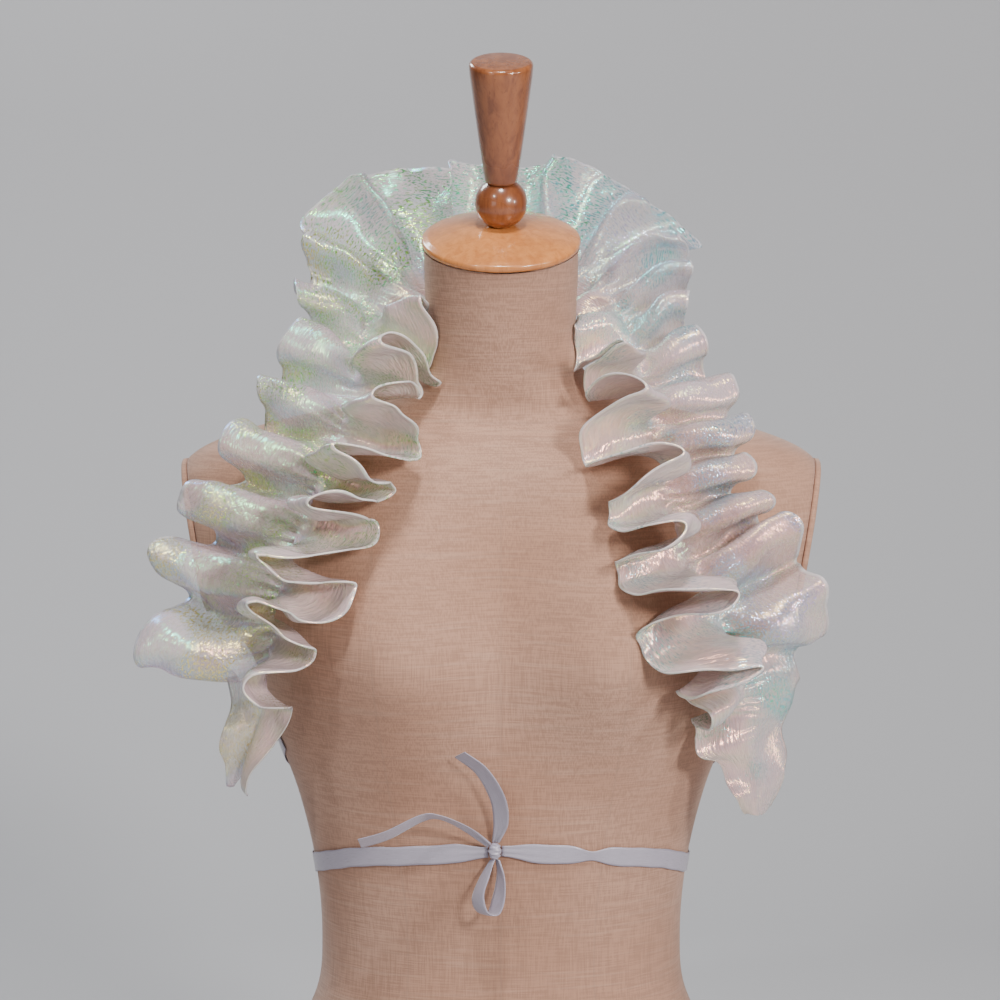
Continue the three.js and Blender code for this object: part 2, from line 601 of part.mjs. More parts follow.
function knotBody() {
  const knot = new THREE.SphereGeometry(1, 12, 8);
  knot.scale(KNOT.width / 2, KNOT.depth / 2, KNOT.height / 2);
  knot.translate(KNOT.x, KNOT.y, KNOT.z);
  return knot;
}

// Dress form pieces

function formRings() {
  const rings = [];
  for (const { from, to, step } of FORM_LEVELS) {
    for (let z = from; z <= to; z += step) {
      const ring = [];
      for (let i = 0; i < FORM_SIDES; i += 1) {
        ring.push(formPoint((2 * Math.PI * i) / FORM_SIDES, z));
      }
      rings.push(ring);
    }
  }
  return rings;
}

function armSlab(side, low, high) {
  const tilt = Math.atan(ARM_PLATE_SLOPE);
  const slab = new THREE.BoxGeometry(high - low, 2 * ARM_PLATE_REACH, 2 * ARM_PLATE_REACH);
  slab.translate((low + high) / 2, 0, 0);
  slab.rotateY(tilt);
  slab.translate(SHOULDER_TIP.x, 0, SHOULDER_TIP.z);
  if (side < 0) {
    slab.rotateZ(Math.PI);
  }
  return solidFrom(slab);
}

function levelSlab(low, high) {
  return solidFrom(slabBetween(low, high, -Math.PI / 2));
}

function neckSlab(low, high) {
  const slab = slabBetween(low, high, -Math.PI / 2);
  slab.rotateX(NECK_LEAN);
  slab.translate(NECK_TOP.x, NECK_TOP.y, NECK_TOP.z);
  return solidFrom(slab);
}

function formBodies() {
  const reach = 300;
  const whole = solidFrom(loftBody(formRings()));
  const plateEnd = SEAM_GAP + ARM_PLATE_THICKNESS;
  const torso = whole
    .subtract(levelSlab(-reach, BASE_BOARD_THICKNESS + SEAM_GAP))
    .subtract(neckSlab(-CAP_EDGE / 2 - SEAM_GAP, reach))
    .subtract(armSlab(1, 0, reach))
    .subtract(armSlab(-1, 0, reach));
  return {
    form_torso: torso,
    base_board: whole.intersect(levelSlab(0, BASE_BOARD_THICKNESS)),
    arm_plate_right: whole.intersect(armSlab(1, SEAM_GAP, plateEnd)),
    arm_plate_left: whole.intersect(armSlab(-1, SEAM_GAP, plateEnd)),
  };
}

function turnedPiece(profile, sides) {
  const points = profile.map(([radius, height]) => new THREE.Vector2(radius, height));
  return new THREE.LatheGeometry(points, sides);
}

function capProfile() {
  const profile = [[0, -CAP_EDGE / 2], [CAP_RADIUS - 1.5, -CAP_EDGE / 2]];
  profile.push([CAP_RADIUS, -CAP_EDGE / 2 + 1.5], [CAP_RADIUS, CAP_EDGE / 2 - 1.5]);
  const steps = 5;
  for (let i = 0; i <= steps; i += 1) {
    const radius = (CAP_RADIUS - 1) * (1 - i / steps);
    profile.push([radius, CAP_EDGE / 2 + CAP_DOME * (1 - (radius / CAP_RADIUS) ** 2)]);
  }
  return profile;
}

function ballProfile() {
  const profile = [[0, -BALL_HEIGHT / 2]];
  const steps = 8;
  const flat = 0.55;
  for (let i = 0; i <= steps; i += 1) {
    const turn = flat + ((Math.PI - 2 * flat) * i) / steps;
    const height = (-Math.cos(turn) / Math.cos(flat)) * (BALL_HEIGHT / 2);
    profile.push([BALL_RADIUS * Math.sin(turn), height]);
  }
  profile.push([0, BALL_HEIGHT / 2]);
  return profile;
}

function handleProfile() {
  const round = 1.5;
  return [
    [0, 0],
    [HANDLE_FOOT_RADIUS - round / 2, 0],
    [HANDLE_FOOT_RADIUS, round],
    [HANDLE_TOP_RADIUS - 0.6, HANDLE_LENGTH * 0.86],
    [HANDLE_TOP_RADIUS, HANDLE_LENGTH * 0.95],
    [HANDLE_TOP_RADIUS - round, HANDLE_LENGTH - round / 2],
    [HANDLE_TOP_RADIUS - 2 * round, HANDLE_LENGTH],
    [0, HANDLE_LENGTH],
  ];
}

// Assembly

function namedMesh(name, geometry, finish) {
  const mesh = new THREE.Mesh(geometry, new THREE.MeshStandardMaterial(FINISHES[finish]));
  mesh.name = name;
  return mesh;
}

function dressForm() {
  const form = new THREE.Group();
  for (const [name, solid] of Object.entries(formBodies())) {
    form.add(namedMesh(name, geometryFrom(solid), name === 'base_board' ? 'board' : 'linen'));
  }
  return form;
}

function neckFurniture() {
  const furniture = new THREE.Group();
  furniture.position.copy(NECK_TOP);
  furniture.rotation.x = Math.PI / 2 + NECK_LEAN;
  const ballMiddle = CAP_EDGE / 2 + CAP_DOME + BALL_HEIGHT / 2;
  const ball = namedMesh('finial_ball', turnedPiece(ballProfile(), 20), 'stained');
  ball.position.y = ballMiddle;
  const handle = namedMesh('finial_handle', turnedPiece(handleProfile(), 24), 'stained');
  handle.position.y = ballMiddle + BALL_HEIGHT / 2;
  furniture.add(namedMesh('neck_cap', turnedPiece(capProfile(), 32), 'beech'), ball, handle);
  return furniture;
}

function capelet() {
  const garment = new THREE.Group();
  const right = ruffleBody(GATHER_RIGHT, FOLDS_RIGHT_OUTER, FOLDS_RIGHT_INNER, 1);
  const left = ruffleBody(GATHER_LEFT, FOLDS_LEFT_OUTER, FOLDS_LEFT_INNER, -1);
  garment.add(namedMesh('ruffle_right', right, 'organza'), namedMesh('ruffle_left', left, 'organza'));
  garment.add(namedMesh('ribbon_left', ribbonRunBody(-1, 0), 'satin'));
  garment.add(namedMesh('ribbon_right', ribbonRunBody(1, CROSSING_LIFT), 'satin'));
  garment.add(namedMesh('ribbon_knot', knotBody(), 'satin'));
  garment.add(namedMesh('ribbon_loop', ribbonStretchBody(RIBBON_LOOP, 21), 'satin'));
  garment.add(namedMesh('ribbon_end_up', ribbonStretchBody(RIBBON_END_UP, 16), 'satin'));
  garment.add(namedMesh('ribbon_end_side', ribbonStretchBody(RIBBON_END_SIDE, 20), 'satin'));
  return garment;
}

const part = new THREE.Group();
part.add(dressForm(), neckFurniture(), capelet());

export default part;
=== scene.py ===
"""Looks for a ruffled organza collar capelet worn on its linen covered dress form.

Tables hold millimetres, as a maker would measure them, and meshes are made in metres.
The front faces -Y and +Z is up.
"""

import logging
import math
from dataclasses import dataclass, field
from enum import Enum
from typing import Any, Dict, List, Mapping, Optional, Sequence, Tuple, Union

import bpy
import numpy as np
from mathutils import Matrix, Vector

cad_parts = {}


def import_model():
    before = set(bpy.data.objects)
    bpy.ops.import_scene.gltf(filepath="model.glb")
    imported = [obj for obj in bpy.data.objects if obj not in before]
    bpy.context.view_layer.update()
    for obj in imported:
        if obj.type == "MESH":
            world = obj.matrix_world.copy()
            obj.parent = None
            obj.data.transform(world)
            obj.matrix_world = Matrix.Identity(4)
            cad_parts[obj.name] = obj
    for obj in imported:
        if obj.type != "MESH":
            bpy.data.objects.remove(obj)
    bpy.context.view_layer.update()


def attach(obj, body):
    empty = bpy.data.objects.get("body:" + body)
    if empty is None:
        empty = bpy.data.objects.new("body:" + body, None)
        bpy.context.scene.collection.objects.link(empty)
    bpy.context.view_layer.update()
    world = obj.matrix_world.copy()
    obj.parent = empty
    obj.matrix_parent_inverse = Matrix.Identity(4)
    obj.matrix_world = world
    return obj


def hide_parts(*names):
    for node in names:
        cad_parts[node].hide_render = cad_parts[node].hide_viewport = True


log = logging.getLogger("capelet")

MM = 0.001
Colour = Tuple[float, float, float]
Rows = Sequence[Tuple[float, ...]]

# Dress form sections: height, half width, middle of the oval, depth before and behind it, fullness
FORM_COLUMNS = ("z", "half", "mid", "front", "back", "fullness")
FORM_ROWS: Rows = (
    (-20, 165, 0, 106, 116, 2.4),
    (60, 164, 0, 102, 116, 2.4),
    (120, 143, 0, 93, 98, 2.3),
    (167, 122, 0, 86, 82, 2.2),
    (200, 119, 0, 84, 77, 2.2),
    (252, 123, 0, 88, 79, 2.2),
    (300, 134, 0, 92, 84, 2.2),
    (340, 148, 0, 94, 89, 2.3),
    (370, 157, 0, 94, 93, 2.3),
    (395, 166, 0, 93, 96, 2.3),
    (430, 198, 2, 90, 97, 2.3),
    (480, 214, 4, 84, 94, 2.3),
    (505, 213, 5, 79, 88, 2.2),
    (516, 208, 6, 76, 84, 2.2),
    (527, 194, 7, 71, 80, 2.2),
    (538, 165, 8, 65, 75, 2.1),
    (548, 126, 8, 57, 69, 2),
    (557, 92, 6, 53, 62, 2),
    (566, 68, 3, 52, 57, 2),
    (578, 54, -1, 52, 53, 2),
    (590, 50, -5, 52, 52, 2),
    (640, 49.5, -20.6, 52, 52, 2),
    (720, 51.5, -45.8, 54, 54, 2),
)

# Gather lines from the centre back seam to the tail: station, place, the way the outer half leaves it,
# and how far the outer and the inner half bend up from it in degrees
GATHER_COLUMNS = ("at", "x", "y", "z", "ox", "oy", "oz", "outer", "inner")
GATHER_RIGHT: Rows = (
    (0, 0, 76, 650, 0, 30, 95, 0, 0),
    (32, 31, 68, 650, 40, 34, 85, 0, -22),
    (62, 54, 49, 646, 80, 34, 60, 0, -36),
    (92, 68, 24, 636, 98, 16, 30, 0, -26),
    (125, 80, -4, 615, 100, 6, 26, -6, 2),
    (160, 91, -34, 582, 98, 8, 26, -10, 14),
    (195, 98, -57, 548, 95, 16, 20, -12, 10),
    (230, 107, -76, 513, 95, 20, 18, -12, 8),
    (268, 118, -88, 473, 95, 24, 18, -10, 10),
    (305, 134, -93, 438, 92, 30, 24, -6, 10),
    (342, 150, -86, 405, 90, 34, 20, -8, 6),
    (380, 161, -82, 368, 88, 40, 14, -24, -18),
    (452, 169, -76, 297, 86, 44, 10, -30, -28),
)
GATHER_LEFT: Rows = (
    (0, 0, 76, 650, 0, 30, 95, 0, 0),
    (32, -31, 68, 650, -34, 34, 88, 0, -22),
    (62, -55, 49, 648, -70, 34, 70, 0, -36),
    (92, -70, 24, 641, -95, 20, 40, 0, -30),
    (125, -84, -2, 620, -98, 8, 32, -6, -8),
    (162, -93, -34, 588, -95, 8, 36, -10, 8),
    (198, -100, -54, 558, -92, 14, 38, -12, 12),
    (235, -113, -72, 530, -90, 18, 40, -12, 12),
    (272, -125, -83, 498, -92, 22, 36, -10, 12),
    (310, -137, -91, 464, -92, 26, 26, -8, 12),
    (348, -146, -95, 430, -92, 30, 14, -4, 12),
    (384, -150, -90, 396, -92, 34, 6, 0, 12),
    (448, -166, -70, 322, -90, 40, 6, 0, 10),
)

# Fold crests from the centre back to the tail: station, reach, height, lean to the tail, side bulge,
# breadth of the crest against its hollow, and how many degrees further up it stands
FOLD_COLUMNS = ("at", "reach", "rise", "lean", "bulge", "crown", "swing")
FOLDS_RIGHT_OUTER: Rows = (
    (0, 60, 22, 0, 0.02, 0, 0),
    (30, 64, 22, 2, 0.02, -0.8, 0),
    (62, 66, 24, 6, 0.02, -0.8, 0),
    (90, 60, 26, 6, 0.04, -0.6, 0),
    (114, 46, 26, 6, 0.06, 0.3, 0),
    (136, 36, 26, 6, 0.07, 0.45, 0),
    (158, 40, 28, 4, 0.07, 0.5, 0),
    (181, 47, 26, 3, 0.07, 0.45, 0),
    (206, 52, 32, 6, 0.07, 0.5, 0),
    (230, 53, 26, 3, 0.07, 0.45, 0),
    (257, 56, 30, -2, 0.07, 0.5, 0),
    (290, 64, 26, -8, 0.07, 0.4, 0),
    (330, 58, 38, 6, 0.08, 0.45, 0),
    (376, 38, 10, 4, 0.03, 0.2, 0),
    (436, 34, 4, 2, 0.02, 0, 0),
)
FOLDS_RIGHT_INNER: Rows = (
    (0, 54, 16, 0, 0.06, 0, 0),
    (34, 54, 16, 0, 0.08, 0, 0),
    (68, 44, 12, -2, 0.04, 0, 0),
    (100, 26, 8, 0, 0.02, 0, 6),
    (130, 32, 12, 2, 0.02, 0.1, 24),
    (158, 50, 22, 8, 0.04, 0, 42),
    (186, 48, 22, 10, 0.08, -0.3, 52),
    (220, 47, 22, 14, 0.06, -0.3, 52),
    (252, 50, 22, 8, 0.08, -0.3, 50),
    (284, 52, 26, 14, 0.08, -0.4, 56),
    (322, 58, 26, 10, 0.08, -0.4, 52),
    (364, 42, 14, 6, 0.05, -0.2, 26),
    (404, 36, 6, 2, 0.02, 0, 4),
    (444, 32, 3, 0, 0.02, 0, 0),
)
FOLDS_LEFT_OUTER: Rows = (
    (0, 60, 22, 0, 0.02, 0, 0),
    (34, 64, 24, 0, 0.02, -0.8, 0),
    (70, 68, 26, 4, 0.02, -0.8, 0),
    (104, 62, 28, 8, 0.05, -0.6, 0),
    (136, 38, 30, 2, 0.06, 0.4, 0),
    (168, 36, 28, -4, 0.07, 0.45, 0),
    (205, 45, 32, 2, 0.07, 0.5, 0),
    (246, 54, 28, -2, 0.07, 0.45, 0),
    (286, 60, 34, 3, 0.07, 0.5, 0),
    (328, 64, 34, -2, 0.07, 0.45, 0),
    (376, 66, 42, 8, 0.08, 0.45, 0),
    (432, 28, 18, 4, 0.04, 0.2, 0),
)
FOLDS_LEFT_INNER: Rows = (
    (0, 54, 16, 0, 0.06, 0, 0),
    (34, 54, 16, 0, 0.08, 0, 0),
    (66, 44, 12, -2, 0.04, 0, 0),
    (98, 36, 8, 0, 0.02, 0, 4),
    (134, 52, 22, 8, 0.04, -0.2, 42),
    (170, 56, 22, 12, 0.06, -0.3, 46),
    (200, 58, 22, 10, 0.04, 0, 44),
    (232, 64, 22, 15, 0.05, -0.2, 48),
    (262, 60, 22, 14, 0.08, -0.3, 50),
    (296, 56, 26, 16, 0.08, -0.4, 58),
    (336, 50, 26, 10, 0.08, -0.4, 52),
    (380, 38, 22, 6, 0.08, -0.2, 38),
    (436, 20, 12, 4, 0.02, 0, 10),
)

# Where the inner rim settles against the neck: station, spread along the strip, how far inwards and down
SETTLED_RIGHT: Rows = ((130, 13, 8, 4), (150, 8, 1, 10))
SETTLED_LEFT: Rows = ((152, 11, 4, 10),)

# Ribbon runs from the tie round the side and the back to a tail: turn from the front, height
RUN_COLUMNS = ("turn", "z")
RUN_ROWS: Rows = (
    (0, 278),
    (45, 268),
    (90, 251),
    (135, 250),
    (180, 268),
    (225, 292),
    (262, 316),
    (286, 338),
)

# Tie at the front: middle line of each stretch, the way its width lies, and the width
TIE_COLUMNS = ("at", "x", "y", "z", "wx", "wy", "wz", "width")
LOOP_ROWS: Rows = (
    (0, -5.4, -94.5, 272.9, 0.5, -0.8, 0.2, 5),
    (1, -11, -98, 262, 0.6, -0.75, 0.3, 11),
    (2, -15, -101, 250, 0.6, -0.75, 0.3, 12.7),
    (3, -12, -103, 240.5, 0.6, -0.8, 0.1, 12.7),
    (4, -5, -103, 239.5, 0.6, -0.8, 0.1, 12.7),
    (5, -1, -100, 250, 0.55, -0.8, -0.1, 12.7),
    (6, 0, -97, 262, 0.5, -0.85, 0, 10),
    (7, -2.2, -94.5, 272.9, 0.5, -0.85, 0, 5),
)
END_UP_ROWS: Rows = (
    (0, -3.4, -94.5, 284.4, 0.9, -0.4, 0, 5),
    (1, 0, -100, 298, 0.85, -0.5, 0.1, 11),
    (2, -2, -105, 315, 0.7, -0.6, 0.3, 12.7),
    (3, -12, -107, 333, 0.55, -0.7, 0.4, 12.7),
    (4, -26, -107, 344, 0.5, -0.75, 0.4, 12.7),
)
END_SIDE_ROWS: Rows = (
    (0, -7.6, -95, 282.4, 0.4, -0.6, 0.6, 5),
    (1, -22, -103, 295, 0.2, -0.85, 0.45, 11),
    (2, -38, -108, 303.5, 0, -0.9, 0.4, 12.7),
    (3, -50, -109, 303.5, -0.1, -0.85, 0.5, 12.7),
    (4, -72, -107, 292, -0.2, -0.8, 0.55, 12.7),
    (5, -90, -103, 285.5, -0.15, -0.75, 0.6, 12.7),
)


class Side(Enum):
    """Which side of the figure a piece is on, as seen from the front."""

    LEFT = -1
    RIGHT = 1


class SmoothTable:
    """Named columns read smoothly between the rows of a short table."""

    def __init__(self, columns: Sequence[str], rows: Rows) -> None:
        """Works out the slopes at the rows.

        Args:
            columns: Column names, the first being the key.
            rows: One tuple of numbers for each row, in rising order of the key.
        """
        data = np.array(rows, float)
        self.keys = data[:, 0]
        self.values = data[:, 1:]
        self.columns = tuple(columns[1:])
        rates = np.diff(self.values, axis=0) / np.diff(self.keys)[:, None]
        self.slopes = np.vstack([rates[:1], (rates[:-1] + rates[1:]) / 2, rates[-1:]])

    def __call__(self, key: np.ndarray) -> Dict[str, np.ndarray]:
        """Reads every column.

        Args:
            key: Values of the key column, in any shape.

        Returns:
            An array of that shape for each column.
        """
        at = np.clip(key, self.keys[0], self.keys[-1])
        i = np.clip(np.searchsorted(self.keys, at) - 1, 0, len(self.keys) - 2)
        span = self.keys[i + 1] - self.keys[i]
        t = ((at - self.keys[i]) / span)[..., None]
        low, high = self.values[i], self.values[i + 1]
        rise = (3 * t**2 - 2 * t**3) * (high - low)
        bend = (t**3 - 2 * t**2 + t) * self.slopes[i] + (t**3 - t**2) * self.slopes[i + 1]
        read = low + rise + span[..., None] * bend
        return {name: read[..., k] for k, name in enumerate(self.columns)}


def smoothstep(x: np.ndarray, low: float, high: float) -> np.ndarray:
    """Rises smoothly from 0 at low to 1 at high."""
    t = np.clip((x - low) / (high - low), 0, 1)
    return t * t * (3 - 2 * t)


def unit(vectors: np.ndarray) -> np.ndarray:
    """Scales vectors along the last axis to length one."""
    length = np.linalg.norm(vectors, axis=-1, keepdims=True)
    return vectors / np.maximum(length, 1e-9)


def grid_normals(points: np.ndarray) -> np.ndarray:
    """Normals of a grid of points, rows along the first axis."""
    return unit(np.cross(np.gradient(points, axis=1), np.gradient(points, axis=0)))


def drifting(points: np.ndarray, wavelength: float, seed: int) -> np.ndarray:
    """A smooth random vector field, each component roughly from -1 to 1.

    Args:
        points: Places, with x, y, z along the last axis.
        wavelength: Typical distance over which the field changes sign, in the points' unit.
        seed: Makes the field the same on each run.

    Returns:
        A vector for each place.
    """
    rng = np.random.default_rng(seed)
    total = np.zeros_like(points)
    waves = 5
    for _ in range(waves):
        direction = unit(rng.normal(size=(3, 3)))
        pace = rng.uniform(0.6, 1.6, size=3) * 2 * np.pi / wavelength
        phase = rng.uniform(0, 2 * np.pi, size=3)
        total += np.sin(points @ direction.T * pace + phase)
    return total / math.sqrt(waves)


# Node work

Socket = Union["Wire", float, Sequence[float]]


class Wire:
    """An output socket that takes part in arithmetic."""

    def __init__(self, finish: "Finish", socket: bpy.types.NodeSocket) -> None:
        """Wraps the socket of a finish's node tree."""
        self.finish = finish
        self.socket = socket

    def math(self, operation: str, other: Socket = 0.0, swapped: bool = False) -> "Wire":
        """Adds a Math node.

        Args:
            operation: The Math node's operation.
            other: The second value or wire.
            swapped: Puts this wire second.

        Returns:
            The result as a wire.
        """
        pair = (other, self) if swapped else (self, other)
        return self.finish.node("ShaderNodeMath", {"operation": operation}, {0: pair[0], 1: pair[1]})

    def __add__(self, other: Socket) -> "Wire":
        """Sum."""
        return self.math("ADD", other)

    __radd__ = __add__

    def __mul__(self, other: Socket) -> "Wire":
        """Product."""
        return self.math("MULTIPLY", other)

    __rmul__ = __mul__

    def __sub__(self, other: Socket) -> "Wire":
        """Difference."""
        return self.math("SUBTRACT", other)

    def __rsub__(self, other: Socket) -> "Wire":
        """Reflected difference."""
        return self.math("SUBTRACT", other, swapped=True)

    def clamped(self) -> "Wire":
        """Limits the value to the range from 0 to 1."""
        return self.math("MINIMUM", 1.0).math("MAXIMUM", 0.0)


class Finish:
    """A procedural material that is built node by node."""

    def __init__(self, name: str) -> None:
        """Makes an empty material with its output node."""
        self.material = bpy.data.materials.new(name)
        self.material.use_nodes = True
        self.tree = self.material.node_tree
        self.tree.nodes.clear()
        self.output = self.tree.nodes.new("ShaderNodeOutputMaterial")

    def node(
        self,
        kind: str,
        settings: Optional[Mapping[str, Any]] = None,
        sockets: Optional[Mapping[Union[str, int], Socket]] = None,
        output: Union[str, int] = 0,
    ) -> Wire:
        """Adds one node.

        Args:
            kind: The node's type.
            settings: Its properties, with "stops" for a colour ramp's positions and colours.
            sockets: Values or wires of its inputs.
            output: The output that is handed back.

        Returns:
            That output as a wire.
        """
        made = self.tree.nodes.new(kind)
        for name, value in (settings or {}).items():
            if name == "stops":
                ramp = made.color_ramp
                while len(ramp.elements) < len(value):
                    ramp.elements.new(1.0)
                for element, (position, colour) in zip(ramp.elements, value):
                    element.position = position
                    element.color = (*colour, 1.0)
            else:
                setattr(made, name, value)
        for name, value in (sockets or {}).items():
            target = made.inputs[name]
            if isinstance(value, Wire):
                self.tree.links.new(value.socket, target)
            elif isinstance(value, (tuple, list)) and target.type == "RGBA":
                target.default_value = (*value, 1.0)
            else:
                target.default_value = value
        return Wire(self, made.outputs[output])

    def place(self) -> Wire:
        """Object coordinates in metres."""
        return self.node("ShaderNodeTexCoord", output="Object")

    def cloth(self) -> Wire:
        """Flat cloth coordinates in metres, along and across the strip."""
        return self.node("ShaderNodeUVMap", {"uv_map": "cloth"})

    def scaled(self, vector: Wire, scale: Sequence[float]) -> Wire:
        """Multiplies a vector by three numbers."""
        return self.node("ShaderNodeVectorMath", {"operation": "MULTIPLY"}, {0: vector, 1: tuple(scale)})

    def axes(self, vector: Wire) -> Tuple[Wire, Wire, Wire]:
        """Splits a vector into its three components."""
        first = self.node("ShaderNodeSeparateXYZ", sockets={0: vector})
        outputs = first.socket.node.outputs
        return first, Wire(self, outputs[1]), Wire(self, outputs[2])

    def noise(
        self, vector: Wire, scale: float, detail: float = 3.0, rough: float = 0.5, warp: float = 0.0
    ) -> Wire:
        """Fractal noise from 0 to 1 at a scale in repeats a metre."""
        return self.node(
            "ShaderNodeTexNoise",
            sockets={
                "Vector": vector,
                "Scale": scale,
                "Detail": detail,
                "Roughness": rough,
                "Distortion": warp,
            },
        )

    def ramp(self, factor: Wire, stops: Sequence[Tuple[float, Colour]]) -> Wire:
        """Colour at each position of the factor."""
        return self.node("ShaderNodeValToRGB", {"stops": stops}, {0: factor})

    def band(self, factor: Wire, low: float, high: float) -> Wire:
        """Maps the range from low to high onto 0 to 1, clamped."""
        return self.node(
            "ShaderNodeMapRange",
            {"interpolation_type": "SMOOTHSTEP"},
            {"Value": factor, "From Min": low, "From Max": high, "To Min": 0.0, "To Max": 1.0},
        )

    def mix(self, factor: Socket, first: Socket, second: Socket) -> Wire:
        """Mixes two colours."""
        return self.node("ShaderNodeMix", {"data_type": "RGBA"}, {0: factor, 6: first, 7: second}, output=2)

    def bump(self, height: Wire, strength: float, distance: float, normal: Optional[Wire] = None) -> Wire:
        """Turns a height into a normal, over another normal where one is given."""
        sockets: Dict[Union[str, int], Socket] = {
            "Height": height,
            "Strength": strength,
            "Distance": distance,
        }
        if normal is not None:
            sockets["Normal"] = normal
        return self.node("ShaderNodeBump", sockets=sockets)

    def surface(self, sockets: Mapping[Union[str, int], Socket]) -> Wire:
        """Adds a Principled surface."""
        return self.node("ShaderNodeBsdfPrincipled", sockets=sockets)

    def blend(self, factor: Socket, first: Wire, second: Wire) -> Wire:
        """Mixes two surfaces."""
        return self.node("ShaderNodeMixShader", sockets={0: factor, 1: first, 2: second})

    def finish(self, surface: Wire) -> bpy.types.Material:
        """Connects the surface and hands back the material."""
        self.tree.links.new(surface.socket, self.output.inputs["Surface"])
        return self.material


@dataclass(frozen=True)
class LinenFinish:
    """Plain woven linen stretched over the dress form, with its seam lines."""

    warm: Colour = (0.45, 0.235, 0.15)
    pale: Colour = (0.53, 0.305, 0.21)
    # shade colours the painted shade in the weave's hollows, and the dark slubs
    shade: Colour = (0.3, 0.155, 0.1)
    threads: float = 1250.0
    seam_width: float = 0.0011
    princess_x: float = 0.082

    def seam_mask(self, finish: Finish) -> Wire:
        """Marks the centre front, princess and neck seams with 1 on their lines."""
        x, y, z = finish.axes(finish.place())
        front = finish.band(y, 0.0, -0.01)
        below_neck = finish.band(z, 0.552, 0.549)
        centre = finish.band(x.math("ABSOLUTE"), self.seam_width, 0.0002)
        sway = finish.band(z, 0.2, 0.42) * 0.022 + finish.band(z, 0.2, 0.02) * 0.02
        shape = x.math("ABSOLUTE") - (sway + (self.princess_x - 0.022))
        princess = finish.band(shape.math("ABSOLUTE"), self.seam_width, 0.0002)
        neck_plane = z - y * 0.315 - 0.5635
        neck = finish.band(neck_plane.math("ABSOLUTE"), self.seam_width, 0.0002)
        lines = (centre * front).math("MAXIMUM", princess)
        return (lines * below_neck).math("MAXIMUM", neck)

    def build(self) -> bpy.types.Material:
        """Makes the material."""
        finish = Finish("linen")
        place = finish.place()
        warp = finish.noise(finish.scaled(place, (1.0, 1.0, 0.05)), self.threads, 0.0)
        weft = finish.noise(finish.scaled(place, (0.05, 0.05, 1.0)), self.threads, 0.0)
        slub = finish.noise(finish.scaled(place, (0.04, 0.04, 1.0)), 420.0, 0.0)
        slub_up = finish.noise(finish.scaled(place, (1.0, 1.0, 0.03)), 330.0, 0.0)
        cloudy = finish.noise(place, 9.0, 1.0)
        tone = (warp + weft) * 0.5
        base = finish.mix(finish.band(cloudy, 0.3, 0.75), self.warm, self.pale)
        # Painted shade: where the weave's height is low, which the bump below sinks, the linen is darkened
        # half way towards the shade colour
        base = finish.mix(finish.band(tone, 0.62, 0.36) * 0.5, base, self.shade)
        base = finish.mix(finish.band(slub, 0.6, 0.75) * 0.14, base, (0.62, 0.41, 0.3))
        base = finish.mix(finish.band(slub_up, 0.64, 0.78) * 0.22, base, self.shade)
        seam = self.seam_mask(finish)
        base = finish.mix(seam * 0.24, base, (0.34, 0.21, 0.15))
        normal = finish.bump(tone, 0.4, 0.0006)
        surface = finish.surface({
            "Base Color": base,
            "Roughness": 0.86,
            "Normal": normal,
            "Sheen Weight": 0.25,
            "Sheen Roughness": 0.5,
        })
        return finish.finish(surface)


@dataclass(frozen=True)
class WoodFinish:
    """Lacquered turned wood with grain along the piece."""

    name: str
    light: Colour
    dark: Colour
    grain: Tuple[float, float, float] = (1.0, 1.0, 0.09)
    gloss: float = 0.22
    coat: float = 0.6

    def build(self) -> bpy.types.Material:
        """Makes the material."""
        finish = Finish(self.name)
        place = finish.scaled(finish.place(), self.grain)
        rings = finish.noise(place, 170.0, 4.0, 0.6, 0.6)
        pores = finish.noise(finish.scaled(finish.place(), (1.0, 1.0, 0.04)), 900.0, 2.0)
        broad = finish.noise(finish.place(), 22.0, 3.0)
        tone = finish.band(rings + broad * 0.5, 0.48, 0.98)
        base = finish.mix(tone, self.light, self.dark)
        base = finish.mix(finish.band(pores, 0.6, 0.72) * 0.35, base, tuple(0.45 * c for c in self.dark))
        normal = finish.bump(rings * 0.5 + pores, 0.08, 0.0004)
        surface = finish.surface({
            "Base Color": base,
            "Roughness": finish.band(broad, 0.2, 0.8) * 0.1 + self.gloss,
            "Normal": normal,
            "Coat Weight": self.coat,
            "Coat Roughness": 0.08,
        })
        return finish.finish(surface)


